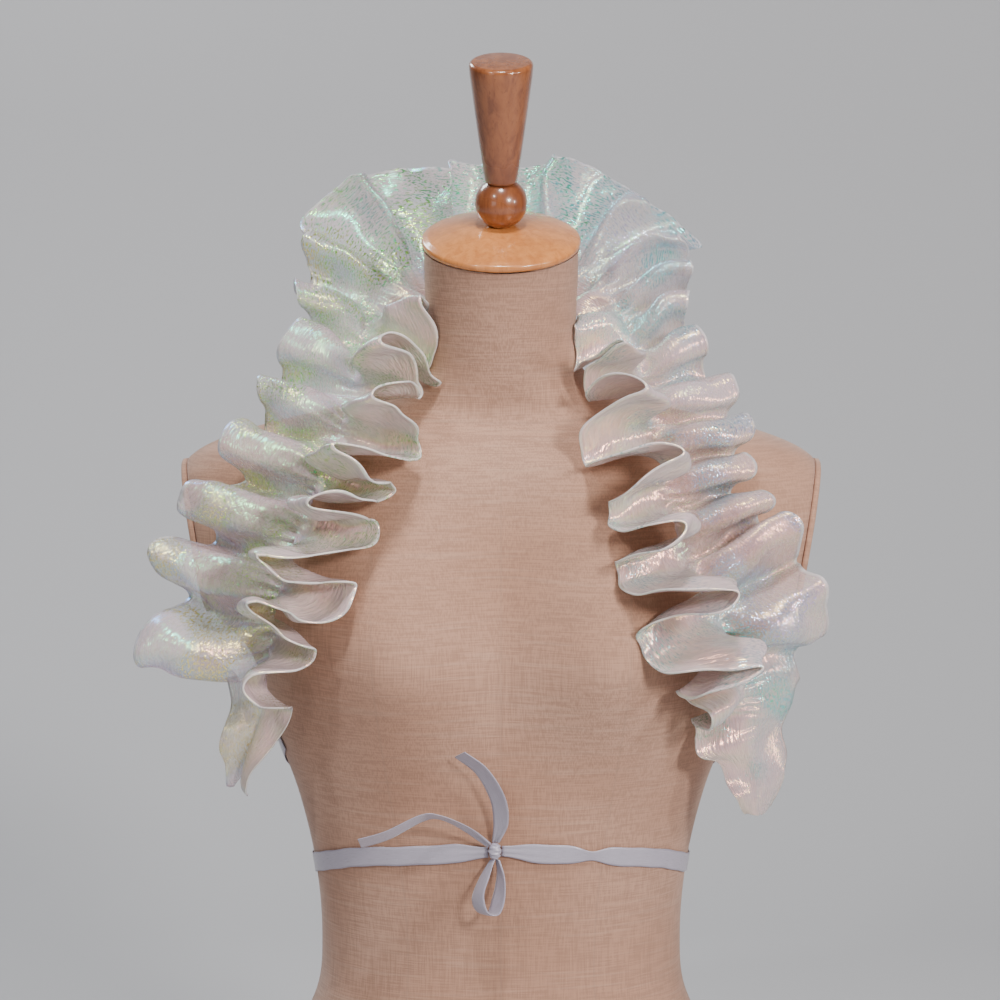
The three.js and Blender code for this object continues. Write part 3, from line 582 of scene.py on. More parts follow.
@dataclass(frozen=True)
class OrganzaFinish:
    """Crinkled sheer organza with an iridescent foil that glitters in short streaks."""

    name: str
    blush: Colour = (0.95, 0.7, 0.74)
    pearl: Colour = (0.74, 0.69, 0.76)
    rim: Colour = (1.0, 0.92, 0.95)
    hues: Sequence[Tuple[float, Colour]] = (
        (0.0, (0.95, 0.4, 0.85)),
        (0.2, (0.75, 0.6, 1.0)),
        (0.38, (0.55, 0.8, 1.0)),
        (0.55, (0.2, 0.9, 0.88)),
        (0.72, (0.08, 0.85, 0.36)),
        (0.86, (0.5, 0.95, 0.12)),
        (1.0, (1.0, 0.85, 0.3)),
    )
    green_film: float = 344.0
    rose_film: float = 398.0
    veil: float = 0.36
    glitter: float = 0.95
    rim_from: float = 0.0597
    rim_by: float = 0.0614

    def build(self) -> bpy.types.Material:
        """Makes the material."""
        finish = Finish(self.name)
        cloth = finish.cloth()
        place = finish.place()
        _, across, _ = finish.axes(cloth)
        x, _, z = finish.axes(place)
        flecks = finish.noise(finish.scaled(cloth, (0.34, 1.0, 1.0)), 1150.0, 1.0, 0.5)
        crinkle = finish.noise(finish.scaled(cloth, (0.3, 1.0, 1.0)), 400.0, 1.0, 0.6)
        broad = finish.noise(place, 30.0, 0.0)
        rolled = finish.band(across.math("ABSOLUTE"), self.rim_from, self.rim_by)
        inner = finish.band(across, 0.0, -0.02)
        collar = finish.band(z, 0.6, 0.66)
        lively = (finish.band(broad, 0.46, 0.6) + collar * 0.5).clamped()
        sparkle = finish.band(flecks + lively * 0.03, 0.57, 0.62)
        spark = sparkle * (lively * 0.86 + 0.14 - inner * lively * 0.4)
        low = finish.band(z, 0.44, 0.36)
        shimmer = broad * 0.6 + crinkle * 0.5 - x * 2.0 + collar * 0.08 + low * 0.3
        hue = finish.ramp(shimmer.clamped(), self.hues)
        blush = (finish.band(broad, 0.62, 0.42) + inner * 0.7).clamped()
        base = finish.mix(blush, self.pearl, self.blush)
        base = finish.mix(rolled * 0.85, base, self.rim)
        normal = finish.bump(crinkle, 0.8, 0.0012)
        flecked = finish.bump(flecks, 0.75, 0.0007, normal)
        veil = rolled * 0.4 + inner * 0.4 + finish.band(crinkle, 0.35, 0.75) * 0.14 - collar * 0.1
        veil = (veil + self.veil).clamped()
        foil = finish.surface({
            "Base Color": hue,
            "Metallic": 0.75,
            "Roughness": 0.18,
            "Normal": flecked,
            "Alpha": 0.92,
        })
        films = [self.sheer(finish, base, normal, veil, film) for film in (self.green_film, self.rose_film)]
        rosy = (finish.band(x * 1.6 + broad, 0.22, 0.46) + inner * 0.8 - collar * 0.6).clamped()
        organza = finish.blend(rosy, films[0], films[1])
        return finish.finish(finish.blend(spark * self.glitter, organza, foil))

    def sheer(self, finish: Finish, base: Wire, normal: Wire, veil: Wire, film: float) -> Wire:
        """Glossy see-through cloth under a thin film.

        Args:
            finish: The finish that is being built.
            base: Colour of the yarn.
            normal: Crinkled normal.
            veil: How much the cloth hides.
            film: Thickness of the film in nanometres.

        Returns:
            The surface.
        """
        return finish.surface({
            "Base Color": base,
            "Roughness": 0.23,
            "IOR": 2.4,
            "Specular IOR Level": 0.9,
            "Normal": normal,
            "Alpha": veil,
            "Thin Film Thickness": film,
            "Thin Film IOR": 1.55,
        })


@dataclass(frozen=True)
class SatinFinish:
    """White lavender satin ribbon with woven edges."""

    name: str = "satin"
    light: Colour = (0.42, 0.38, 0.45)

    def build(self) -> bpy.types.Material:
        """Makes the material."""
        finish = Finish(self.name)
        cloth = finish.cloth()
        _, across, _ = finish.axes(cloth)
        threads = finish.noise(finish.scaled(cloth, (0.06, 1.0, 1.0)), 2600.0, 2.0)
        ribs = finish.noise(finish.scaled(cloth, (1.0, 0.05, 1.0)), 1500.0, 1.0)
        edge = finish.band(across.math("ABSOLUTE"), 0.0054, 0.0061)
        base = finish.mix(finish.band(threads, 0.4, 0.7) * 0.3, self.light, (0.58, 0.54, 0.64))
        base = finish.mix(edge * 0.5, base, (0.36, 0.32, 0.42))
        normal = finish.bump(threads + ribs * 0.6, 0.3, 0.0004)
        surface = finish.surface({
            "Base Color": base,
            "Roughness": finish.band(threads, 0.2, 0.8) * 0.12 + 0.26,
            "Normal": normal,
            "Sheen Weight": 0.35,
            "Sheen Roughness": 0.3,
            "Anisotropic": 0.5,
            "Specular IOR Level": 0.7,
        })
        return finish.finish(surface)


@dataclass(frozen=True)
class BoardFinish:
    """Plain sanded board."""

    name: str
    light: Colour
    dark: Colour

    def build(self) -> bpy.types.Material:
        """Makes the material."""
        finish = Finish(self.name)
        grain = finish.noise(finish.scaled(finish.place(), (0.08, 1.0, 1.0)), 240.0, 4.0, 0.6, 0.4)
        base = finish.mix(finish.band(grain, 0.35, 0.7), self.light, self.dark)
        surface = finish.surface({
            "Base Color": base,
            "Roughness": finish.band(grain, 0.2, 0.8) * 0.2 + 0.6,
            "Normal": finish.bump(grain, 0.2, 0.0005),
        })
        return finish.finish(surface)


# Meshes


def mesh_object(
    name: str,
    points: np.ndarray,
    faces: Sequence[Sequence[int]],
    material: bpy.types.Material,
    uvs: Optional[np.ndarray] = None,
) -> bpy.types.Object:
    """Makes a smooth mesh object.

    Args:
        name: The piece's name.
        points: One row of x, y, z for each vertex, in millimetres.
        faces: Vertex indices of each face.
        material: Its finish.
        uvs: Flat cloth coordinates for each vertex, kept in a UV layer called cloth.

    Returns:
        The object, linked to the scene.
    """
    mesh = bpy.data.meshes.new(name)
    mesh.from_pydata((points * MM).tolist(), [], [tuple(face) for face in faces])
    mesh.materials.append(material)
    mesh.polygons.foreach_set("use_smooth", np.ones(len(mesh.polygons), bool))
    if uvs is not None:
        layer = mesh.uv_layers.new(name="cloth")
        corners = np.zeros(len(mesh.loops), np.int32)
        mesh.loops.foreach_get("vertex_index", corners)
        layer.data.foreach_set("uv", uvs[corners].astype(np.float32).ravel())
    mesh.update()
    made = bpy.data.objects.new(name, mesh)
    bpy.context.scene.collection.objects.link(made)
    return made


def quad_grid(rows: int, columns: int, first: int = 0, flipped: bool = False) -> List[Tuple[int, ...]]:
    """Faces of a grid of vertices that are numbered row by row."""
    faces = []
    for i in range(rows - 1):
        for j in range(columns - 1):
            a = first + i * columns + j
            face = (a, a + 1, a + columns + 1, a + columns)
            faces.append(face[::-1] if flipped else face)
    return faces


def ring_faces(rings: int, count: int) -> List[Tuple[int, ...]]:
    """Faces between closed rings of vertices that are numbered ring by ring."""
    faces: List[Tuple[int, ...]] = []
    for i in range(rings - 1):
        for j in range(count):
            a, b = i * count + j, i * count + (j + 1) % count
            faces.append((a, b, b + count, a + count))
    return faces


def capped_rings(rings: int, count: int) -> List[Tuple[int, ...]]:
    """Faces of a stack of rings that is closed by a flat face at each end."""
    faces = ring_faces(rings, count)
    faces.append(tuple(range(count))[::-1])
    faces.append(tuple(range((rings - 1) * count, rings * count)))
    return faces


def pointed_rings(rings: int, count: int) -> List[Tuple[int, ...]]:
    """Faces of a stack of rings that is closed at two more vertices, the first end's and the last end's."""
    faces = ring_faces(rings, count)
    for j in range(count):
        b = (j + 1) % count
        faces.append((rings * count, b, j))
        faces.append((rings * count + 1, (rings - 1) * count + j, (rings - 1) * count + b))
    return faces


def rim_order(rows: int, columns: int) -> List[int]:
    """Vertices round a grid's edge, in the order of its front faces."""
    return (
        [j for j in range(columns - 1)]
        + [i * columns + columns - 1 for i in range(rows - 1)]
        + [(rows - 1) * columns + j for j in range(columns - 1, 0, -1)]
        + [i * columns for i in range(rows - 1, 0, -1)]
    )


def wall_object(
    name: str,
    middle: np.ndarray,
    thickness: np.ndarray,
    uvs: np.ndarray,
    material: bpy.types.Material,
) -> bpy.types.Object:
    """Makes a closed thin shell on both sides of a grid of points.

    Args:
        name: The piece's name.
        middle: Grid of points of the shell's middle, in millimetres.
        thickness: Thickness at each point, in millimetres.
        uvs: Flat cloth coordinates of each point.
        material: Its finish.

    Returns:
        The object.
    """
    rows, columns = middle.shape[:2]
    offset = grid_normals(middle) * thickness[..., None] / 2
    points = np.concatenate([(middle + offset).reshape(-1, 3), (middle - offset).reshape(-1, 3)])
    half = rows * columns
    faces = quad_grid(rows, columns) + quad_grid(rows, columns, half, flipped=True)
    rim = rim_order(rows, columns)
    for a, b in zip(rim, rim[1:] + rim[:1]):
        faces.append((a, half + a, half + b, b))
    flat = uvs.reshape(-1, 2)
    return mesh_object(name, points, faces, material, np.concatenate([flat, flat]))


# Dress form


@dataclass
class DressForm:
    """The linen covered body with its arm plates, base board, neck cap and finial."""

    bust_x: float = 77.0
    bust_z: float = 401.0
    bust_lift: float = 32.0
    bust_across: float = 38.0
    bust_above: float = 56.0
    bust_below: float = 38.0
    board: float = 8.0
    seam_gap: float = 0.3
    shoulder_x: float = 205.0
    shoulder_z: float = 516.0
    plate_slope: float = 0.17
    plate: float = 4.0
    lean: float = math.radians(17.5)
    neck_top: Tuple[float, float, float] = (0.0, -28.0, 663.5)
    cap_radius: float = 51.2
    cap_edge: float = 5.0
    cap_dome: float = 9.0
    ball_radius: float = 16.8
    ball_height: float = 29.0
    handle_length: float = 80.0
    handle_foot: float = 10.5
    handle_top: float = 20.3
    sides: int = 260
    sections: SmoothTable = field(default_factory=lambda: SmoothTable(FORM_COLUMNS, FORM_ROWS))

    def bust(self, x: np.ndarray, z: np.ndarray) -> np.ndarray:
        """How far the front stands out at a place."""
        across = (np.abs(x) - self.bust_x) / self.bust_across
        along = (z - self.bust_z) / np.where(z > self.bust_z, self.bust_above, self.bust_below)
        return self.bust_lift * np.exp(-(across**2 + along**2) / 2)

    def level(self, points: np.ndarray) -> np.ndarray:
        """Zero on the surface, positive outside it."""
        x, y, z = points[..., 0], points[..., 1], points[..., 2]
        s = self.sections(z)
        depth = np.where(y < s["mid"], s["front"] + self.bust(x, z), s["back"])
        across = np.maximum(np.abs(x) / s["half"], 1e-6)
        along = np.maximum(np.abs(y - s["mid"]) / depth, 1e-6)
        power = s["fullness"]
        return (across**power + along**power) ** (1 / power) - 1

    def slope(self, points: np.ndarray) -> np.ndarray:
        """Gradient of the level."""
        step = 0.5
        parts = []
        for axis in range(3):
            nudge = np.zeros(3)
            nudge[axis] = step
            parts.append((self.level(points + nudge) - self.level(points - nudge)) / (2 * step))
        return np.stack(parts, -1)

    def clear(self, points: np.ndarray, distance: float) -> np.ndarray:
        """Moves points out until they are a distance off the surface."""
        moved = points.copy()
        for _ in range(4):
            slope = self.slope(moved)
            steep = np.linalg.norm(slope, axis=-1)
            short = np.maximum(distance - self.level(moved) / steep, 0)
            moved += slope * (short / steep)[..., None]
        return moved

    def point(self, turn: np.ndarray, z: np.ndarray) -> np.ndarray:
        """Surface point at a turn from the front, in radians, and a height."""
        s = self.sections(z)
        side, ahead = np.sin(turn), np.cos(turn)
        power = 2 / s["fullness"]
        x = s["half"] * np.sign(side) * np.abs(side) ** power
        depth = np.where(ahead > 0, -(s["front"] + self.bust(x, z)), s["back"])
        return np.stack([x, s["mid"] + depth * np.abs(ahead) ** power, z], -1)

    def body_levels(self) -> np.ndarray:
        """Heights of the body's rings, from the base board to above the neck."""
        low = self.board + self.seam_gap
        return np.concatenate([
            np.arange(low, 380, 5.0),
            np.arange(380, 500, 3.0),
            np.arange(500, 590, 1.5),
            np.arange(590, 700, 5.0),
        ])

    def torso(self, material: bpy.types.Material) -> bpy.types.Object:
        """Makes the body, cut flat at the arm plates and under the cap."""
        levels = self.body_levels()
        turns = np.linspace(0, 2 * np.pi, self.sides, endpoint=False)
        z, turn = np.meshgrid(levels, turns, indexing="ij")
        points = self.point(turn, z)
        limit = self.shoulder_x + self.plate_slope * (points[..., 2] - self.shoulder_z)
        armhole = points[..., 2] > self.shoulder_z - 118
        side = np.sign(points[..., 0])
        clipped = np.where(armhole, np.minimum(np.abs(points[..., 0]), limit), np.abs(points[..., 0]))
        points[..., 0] = side * clipped
        points = self.cut_under_cap(points)
        rows, columns = points.shape[:2]
        return mesh_object("linen_body", points.reshape(-1, 3), capped_rings(rows, columns), material)

    def neck_axis(self) -> np.ndarray:
        """Direction in which the neck leans."""
        return np.array([0.0, -math.sin(self.lean), math.cos(self.lean)])

    def cut_under_cap(self, points: np.ndarray) -> np.ndarray:
        """Flattens what is above the cap's underside onto it, along the neck's lean."""
        top = np.array(self.neck_top)
        axis = self.neck_axis()
        above = (points - top) @ axis + self.cap_edge / 2 + self.seam_gap
        return points - axis * np.maximum(above, 0)[..., None]

    def arm_plate(self, side: Side, material: bpy.types.Material) -> bpy.types.Object:
        """Makes the covered plate that closes one armhole."""
        count = 96
        inside, outside = self.seam_gap, self.seam_gap + self.plate
        rings = (
            (0.0, inside),
            (0.97, inside),
            (1.0, inside + 0.6),
            (1.0, outside - 1.0),
            (0.985, outside - 0.3),
            (0.95, outside),
            (0.6, outside + 0.2),
            (0.0, outside + 0.2),
        )
        tilt = math.atan(self.plate_slope)
        outward = np.array([math.cos(tilt), 0, -math.sin(tilt)])
        along = np.array([math.sin(tilt), 0, math.cos(tilt)])
        low, high = 413.5, 519.5
        middle_z = (low + high) / 2
        middle = np.array([self.shoulder_x + self.plate_slope * (middle_z - self.shoulder_z), 4.0, middle_z])
        edge = self.plate_edge(middle, along, count)
        points = []
        for share, off in rings[1:-1]:
            points.append(middle + (edge - middle) * share + outward * off)
        start = middle + outward * rings[0][1]
        end = middle + outward * rings[-1][1]
        stack = np.concatenate([*points, start[None], end[None]])
        stack[:, 0] *= side.value
        faces = pointed_rings(len(points), count)
        if side is Side.LEFT:
            faces = [face[::-1] for face in faces]
        name = f"arm_plate_cover_{side.name.lower()}"
        return mesh_object(name, stack, faces, material)

    def plate_edge(self, middle: np.ndarray, along: np.ndarray, count: int) -> np.ndarray:
        """Points where the armhole's plane meets the body's surface, found by halving."""
        turns = np.linspace(0, 2 * np.pi, count, endpoint=False)
        ahead = np.array([0.0, 1.0, 0.0])
        ways = np.cos(turns)[:, None] * ahead + np.sin(turns)[:, None] * along
        low, high = np.zeros(count), np.full(count, 90.0)
        for _ in range(24):
            reach = (low + high) / 2
            inside = self.level(middle + ways * reach[:, None]) < 0
            low, high = np.where(inside, reach, low), np.where(inside, high, reach)
        return middle + ways * low[:, None]

    def base(self, material: bpy.types.Material) -> bpy.types.Object:
        """Makes the base board."""
        turns = np.linspace(0, 2 * np.pi, 160, endpoint=False)
        rings = []
        for height, inset in ((0.0, 1.0), (0.8, 0.0), (self.board - 0.8, 0.0), (self.board, 1.0)):
            ring = self.point(turns, np.full_like(turns, height))
            ring[:, :2] *= 1 - inset / 150
            rings.append(ring)
        faces = capped_rings(len(rings), len(turns))
        return mesh_object("standing_board", np.concatenate(rings), faces, material)

    def turned(
        self, name: str, profile: Sequence[Tuple[float, float]], lift: float, material: bpy.types.Material
    ) -> bpy.types.Object:
        """Makes a turned piece on the leaning neck axis.

        Args:
            name: The piece's name.
            profile: Radius and height of each ring, the first and last on the axis.
            lift: Height of the profile's zero above the cap's edge.
            material: Its finish.

        Returns:
            The object.
        """
        count = 96
        turns = np.linspace(0, 2 * np.pi, count, endpoint=False)
        axis = self.neck_axis()
        cross = np.array([0.0, math.cos(self.lean), math.sin(self.lean)])
        side = np.array([1.0, 0.0, 0.0])
        ways = np.cos(turns)[:, None] * side + np.sin(turns)[:, None] * cross
        foot = np.array(self.neck_top) + axis * lift
        rings = [foot + axis * height + ways * radius for radius, height in profile[1:-1]]
        ends = [foot + axis * profile[0][1], foot + axis * profile[-1][1]]
        points = np.concatenate([*rings, ends])
        return mesh_object(name, points, pointed_rings(len(rings), count), material)

    def cap_profile(self) -> List[Tuple[float, float]]:
        """Lens shaped cap: flat below, a rounded edge and a low dome."""
        half = self.cap_edge / 2
        profile = [(0.0, -half), (self.cap_radius - 2.0, -half)]
        for step in range(9):
            turn = -math.pi / 2 + math.pi * step / 8
            profile.append((self.cap_radius - 1.6 + 1.6 * math.cos(turn), half * math.sin(turn)))
        for step in range(1, 30):
            radius = (self.cap_radius - 1.6) * (1 - step / 30)
            rise = self.cap_dome * (1 - (radius / self.cap_radius) ** 2)
            profile.append((radius, half + rise))
        profile.append((0.0, half + self.cap_dome))
        return profile

    def ball_profile(self) -> List[Tuple[float, float]]:
        """Flattened ball that stands on a small flat foot."""
        flat = 0.5
        profile = [(0.0, -self.ball_height / 2)]
        for step in range(33):
            turn = flat + (math.pi - 2 * flat) * step / 32
            height = -math.cos(turn) / math.cos(flat) * self.ball_height / 2
            profile.append((self.ball_radius * math.sin(turn), height))
        profile.append((0.0, self.ball_height / 2))
        return profile

    def handle_profile(self) -> List[Tuple[float, float]]:
        """Tapered handle, widest just under its rounded top."""
        foot = self.handle_foot
        profile = [(0.0, 0.0), (foot - 1.2, 0.0), (foot - 0.3, 0.5), (foot, 1.6)]
        for step in range(1, 24):
            share = step / 24
            radius = foot + (self.handle_top - foot) * share**0.94
            profile.append((radius, 1.6 + (self.handle_length * 0.93 - 1.6) * share))
        for step in range(7):
            turn = math.pi / 2 * step / 6
            radius = self.handle_top - 2.6 + 2.6 * math.cos(turn)
            profile.append((radius, self.handle_length * 0.965 + 2.8 * math.sin(turn)))
        profile.append((0.0, self.handle_length))
        return profile

    def build(self, looks: Mapping[str, bpy.types.Material]) -> None:
        """Makes every piece of the form and lets it stand for its solid."""
        linen, board, beech, stained = (looks[name] for name in ("linen", "board", "beech", "stained"))
        ball_lift = self.cap_edge / 2 + self.cap_dome + self.ball_height / 2
        handle_lift = ball_lift + self.ball_height / 2
        handle_profile = self.handle_profile()
        made = (
            (self.torso(linen), "form_torso", "linen"),
            (self.arm_plate(Side.LEFT, linen), "arm_plate_left", "linen"),
            (self.arm_plate(Side.RIGHT, linen), "arm_plate_right", "linen"),
            (self.base(board), "base_board", "board"),
            (self.turned("lens_cap", self.cap_profile(), 0.0, beech), "neck_cap", "beech"),
            (self.turned("turned_ball", self.ball_profile(), ball_lift, stained), "finial_ball", "stained"),
            (self.turned("turned_handle", handle_profile, handle_lift, stained), "finial_handle", "stained"),
        )
        for piece, node, slot in made:
            dress_piece(piece, node)


def dress_piece(piece: bpy.types.Object, node: str) -> None:
    """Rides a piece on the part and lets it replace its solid."""
    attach(piece, "root")
    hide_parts(node)
    log.info("%s stands for %s", piece.name, node)


# Ruffle


@dataclass
class Ruffle:
    """One of the two gathered strips of organza."""

    side: Side
    gather: Rows
    outer: Rows
    inner: Rows
    form: DressForm
    seed: int
    settled: Rows
    notch: float = 0.16
    ridged_crown: float = -0.7
    rounded_crown: float = -0.2
    crown_ease: float = 0.45
    stitched_share: float = 0.12
    open_from: float = -0.3
    open_by: float = 0.62
    swing_by: float = 0.5
    tail_length: float = 60.0
    tail_reach: float = 0.12
    seat: float = -5.0
    blunt: float = 5.0
    cloth: float = 0.55
    rolled: float = 1.15
    steps: int = 900
    halves: int = 17
    flat_width: float = 0.112
    texture_half: float = 0.062
    rim_band: Tuple[float, float] = (0.955, 0.99)
    long_drift: Tuple[float, float] = (90.0, 5.5)
    short_drift: Tuple[float, float] = (34.0, 1.6)
    gather_pitch: float = 5.2
    gather_stray: float = 2.2
    flap_ease: float = 0.85
    flap_span: Tuple[float, float] = (90.0, 45.0)
    off_form: float = 1.7

    def __post_init__(self) -> None:
        """Sets up the tables, mirrored past the centre back seam."""
        second = dict(zip(GATHER_COLUMNS, self.gather[1]))
        second.update(at=-second["at"], x=-second["x"], ox=-second["ox"])
        beyond = tuple(second[name] for name in GATHER_COLUMNS)
        self.line = SmoothTable(GATHER_COLUMNS, (beyond, *self.gather))
        self.end = float(self.gather[-1][0])

    def frame(self, at: np.ndarray) -> Tuple[Dict[str, np.ndarray], np.ndarray, np.ndarray, np.ndarray]:
        """Reads the gather line with its directions along, outwards and up."""
        here = self.line(at)
        ahead = self.line(np.minimum(at + 1, self.end))
        behind = self.line(at - 1)
        along = unit(np.stack([ahead[a] - behind[a] for a in "xyz"], -1))
        outward = np.stack([here["ox"], here["oy"], here["oz"]], -1)
        outward = unit(outward - along * np.sum(along * outward, -1, keepdims=True))
        up = np.cross(along, outward) * self.side.value
        return here, along, outward, up

    def fold_turns(self, rows: Rows, at: np.ndarray) -> np.ndarray:
        """Turns of the wave at each station, a crest at each whole number."""
        crests = np.array([row[0] for row in rows], float)
        i = np.clip(np.searchsorted(crests, at) - 1, 0, len(crests) - 2)
        return i + (at - crests[i]) / (crests[i + 1] - crests[i])

    def half(self, at: np.ndarray, share: np.ndarray, rows: Rows, way: int, bend_name: str) -> np.ndarray:
        """Surface of the outer or the inner half.

        Args:
            at: Stations, one for each row of the grid.
            share: From 0 at the gathers to 1 at the rim, one for each column.
            rows: The half's folds.
            way: 1 for the outer half and -1 for the inner.
            bend_name: The gather table's column with the half's bend.

        Returns:
            Points in millimetres.
        """
        here, along, outward, up = self.frame(at)
        fold = SmoothTable(FOLD_COLUMNS, rows)(at)
        pitch = self.end / len(rows)
        turn = self.fold_turns(rows, at)[:, None] * 2 * np.pi
        share = share[None, :]
        opened = smoothstep(share, 0, self.stitched_share) * smoothstep(share, self.open_from, self.open_by)
        crown = fold["crown"][:, None]
        crest = ((1 + np.cos(turn)) / 2) ** (1 - self.crown_ease * crown)
        rounded = smoothstep(crown, self.ridged_crown, self.rounded_crown)
        dent = rounded * (1 - crest) + (1 - rounded) * crest
        reach = fold["reach"][:, None] * (1 - self.notch * dent)
        tail = np.minimum(1, (self.end - at) / self.tail_length)[:, None]
        sideways = reach * share * (self.tail_reach + (1 - self.tail_reach) * tail) + self.blunt * share
        swing = fold["swing"][:, None] * crest * smoothstep(share, 0, self.swing_by)
        bend = np.radians(here[bend_name][:, None] + swing)
        height = fold["rise"][:, None] * crest * opened
        spread = crown * pitch / (2 * np.pi) * np.sin(turn)
        shift = fold["bulge"][:, None] * pitch * np.sin(2 * turn) + fold["lean"][:, None] * crest + spread
        shift = shift * opened
        place = np.stack([here[a] for a in "xyz"], -1)[:, None, :]
        cos, sin = np.cos(bend)[..., None], np.sin(bend)[..., None]
        level = way * outward[:, None, :]
        return (
            place
            + up[:, None, :] * self.seat
            + (level * cos + up[:, None, :] * sin) * sideways[..., None]
            + (up[:, None, :] * cos - level * sin) * height[..., None]
            + along[:, None, :] * shift[..., None]
        )

    def creases(self, at: np.ndarray, across: np.ndarray) -> np.ndarray:
        """Heights of the gathers that run out from the stitching and of the soft creases beyond them."""
        rng = np.random.default_rng(self.seed)
        share = np.abs(across)[None, :]
        station = at[:, None]
        total = np.zeros((len(at), len(across)))
        count = int(self.end / self.gather_pitch)
        stray = rng.uniform(-self.gather_stray, self.gather_stray, count)
        centres = np.linspace(0, self.end, count) + stray
        for centre in centres:
            width = rng.uniform(1.1, 2.3)
            depth = rng.uniform(0.9, 2.2) * rng.choice((-1, 1))
            for half in (-1, 1):
                length = rng.uniform(0.25, 0.75)
                drift = rng.uniform(-6, 6)
                on = (across * half >= 0)[None, :]
                away = (station - centre - drift * share) / (width * (1 + 1.6 * share))
                total += depth * on * np.exp(-away**2) * smoothstep(1 - share, 1 - length, 1.0)
        return total

    def middle(self) -> Tuple[np.ndarray, np.ndarray]:
        """Works out the middle surface of the strip.

        Returns:
            The grid of points in millimetres and the across positions of its columns.
        """
        at = np.linspace(0.15, self.end, self.steps)
        share = np.linspace(0, 1, self.halves + 1) ** 0.85
        outer = self.half(at, share, self.outer, 1, "outer")
        inner = self.half(at, share, self.inner, -1, "inner")
        grid = np.concatenate([inner[:, :0:-1], outer], axis=1)
        across = np.concatenate([-share[:0:-1], share])
        loose = smoothstep(np.abs(across), 0.1, 0.9)[None, :, None] * smoothstep(at, 4, 26)[:, None, None]
        for extra, (wavelength, size) in enumerate((self.long_drift, self.short_drift)):
            grid = grid + drifting(grid, wavelength, self.seed + extra) * size * loose
        for station, spread, inward, down in self.settled:
            near = np.exp(-(((at - station) / spread) ** 2))[:, None] * smoothstep(-across, 0.2, 1.0)[None, :]
            grid = grid - near[..., None] * np.array([self.side.value * inward, 0.0, down])
        flap = 1 - self.flap_ease * smoothstep(at, self.end - self.flap_span[0], self.end - self.flap_span[1])
        heights = self.creases(at, across) * (smoothstep(at, 1, 10) * flap)[:, None]
        grid = grid + grid_normals(grid) * heights[..., None]
        return self.form.clear(grid, self.off_form), across

    def build(self, looks: Mapping[str, bpy.types.Material]) -> bpy.types.Object:
        grid, across = self.middle()
        length = np.linalg.norm(np.diff(grid, axis=0), axis=-1)
        outer_length = np.concatenate([[0], np.cumsum(length[:, [3, -4]].mean(1))])
        uvs = np.zeros((*grid.shape[:2], 2))
        uvs[..., 0] = outer_length[:, None] * MM
        uvs[..., 1] = across[None, :] * self.texture_half
        thickness = self.cloth + (self.rolled - self.cloth) * smoothstep(np.abs(across), *self.rim_band)
        thickness = np.broadcast_to(thickness, grid.shape[:2])
        name = f"organza_{self.side.name.lower()}"
        piece = wall_object(name, grid, thickness, uvs, looks["organza"])
        dress_piece(piece, f"ruffle_{self.side.name.lower()}")
        log.info("%s is %.0f mm long at its rims", name, outer_length[-1])
        return piece


# Ribbons


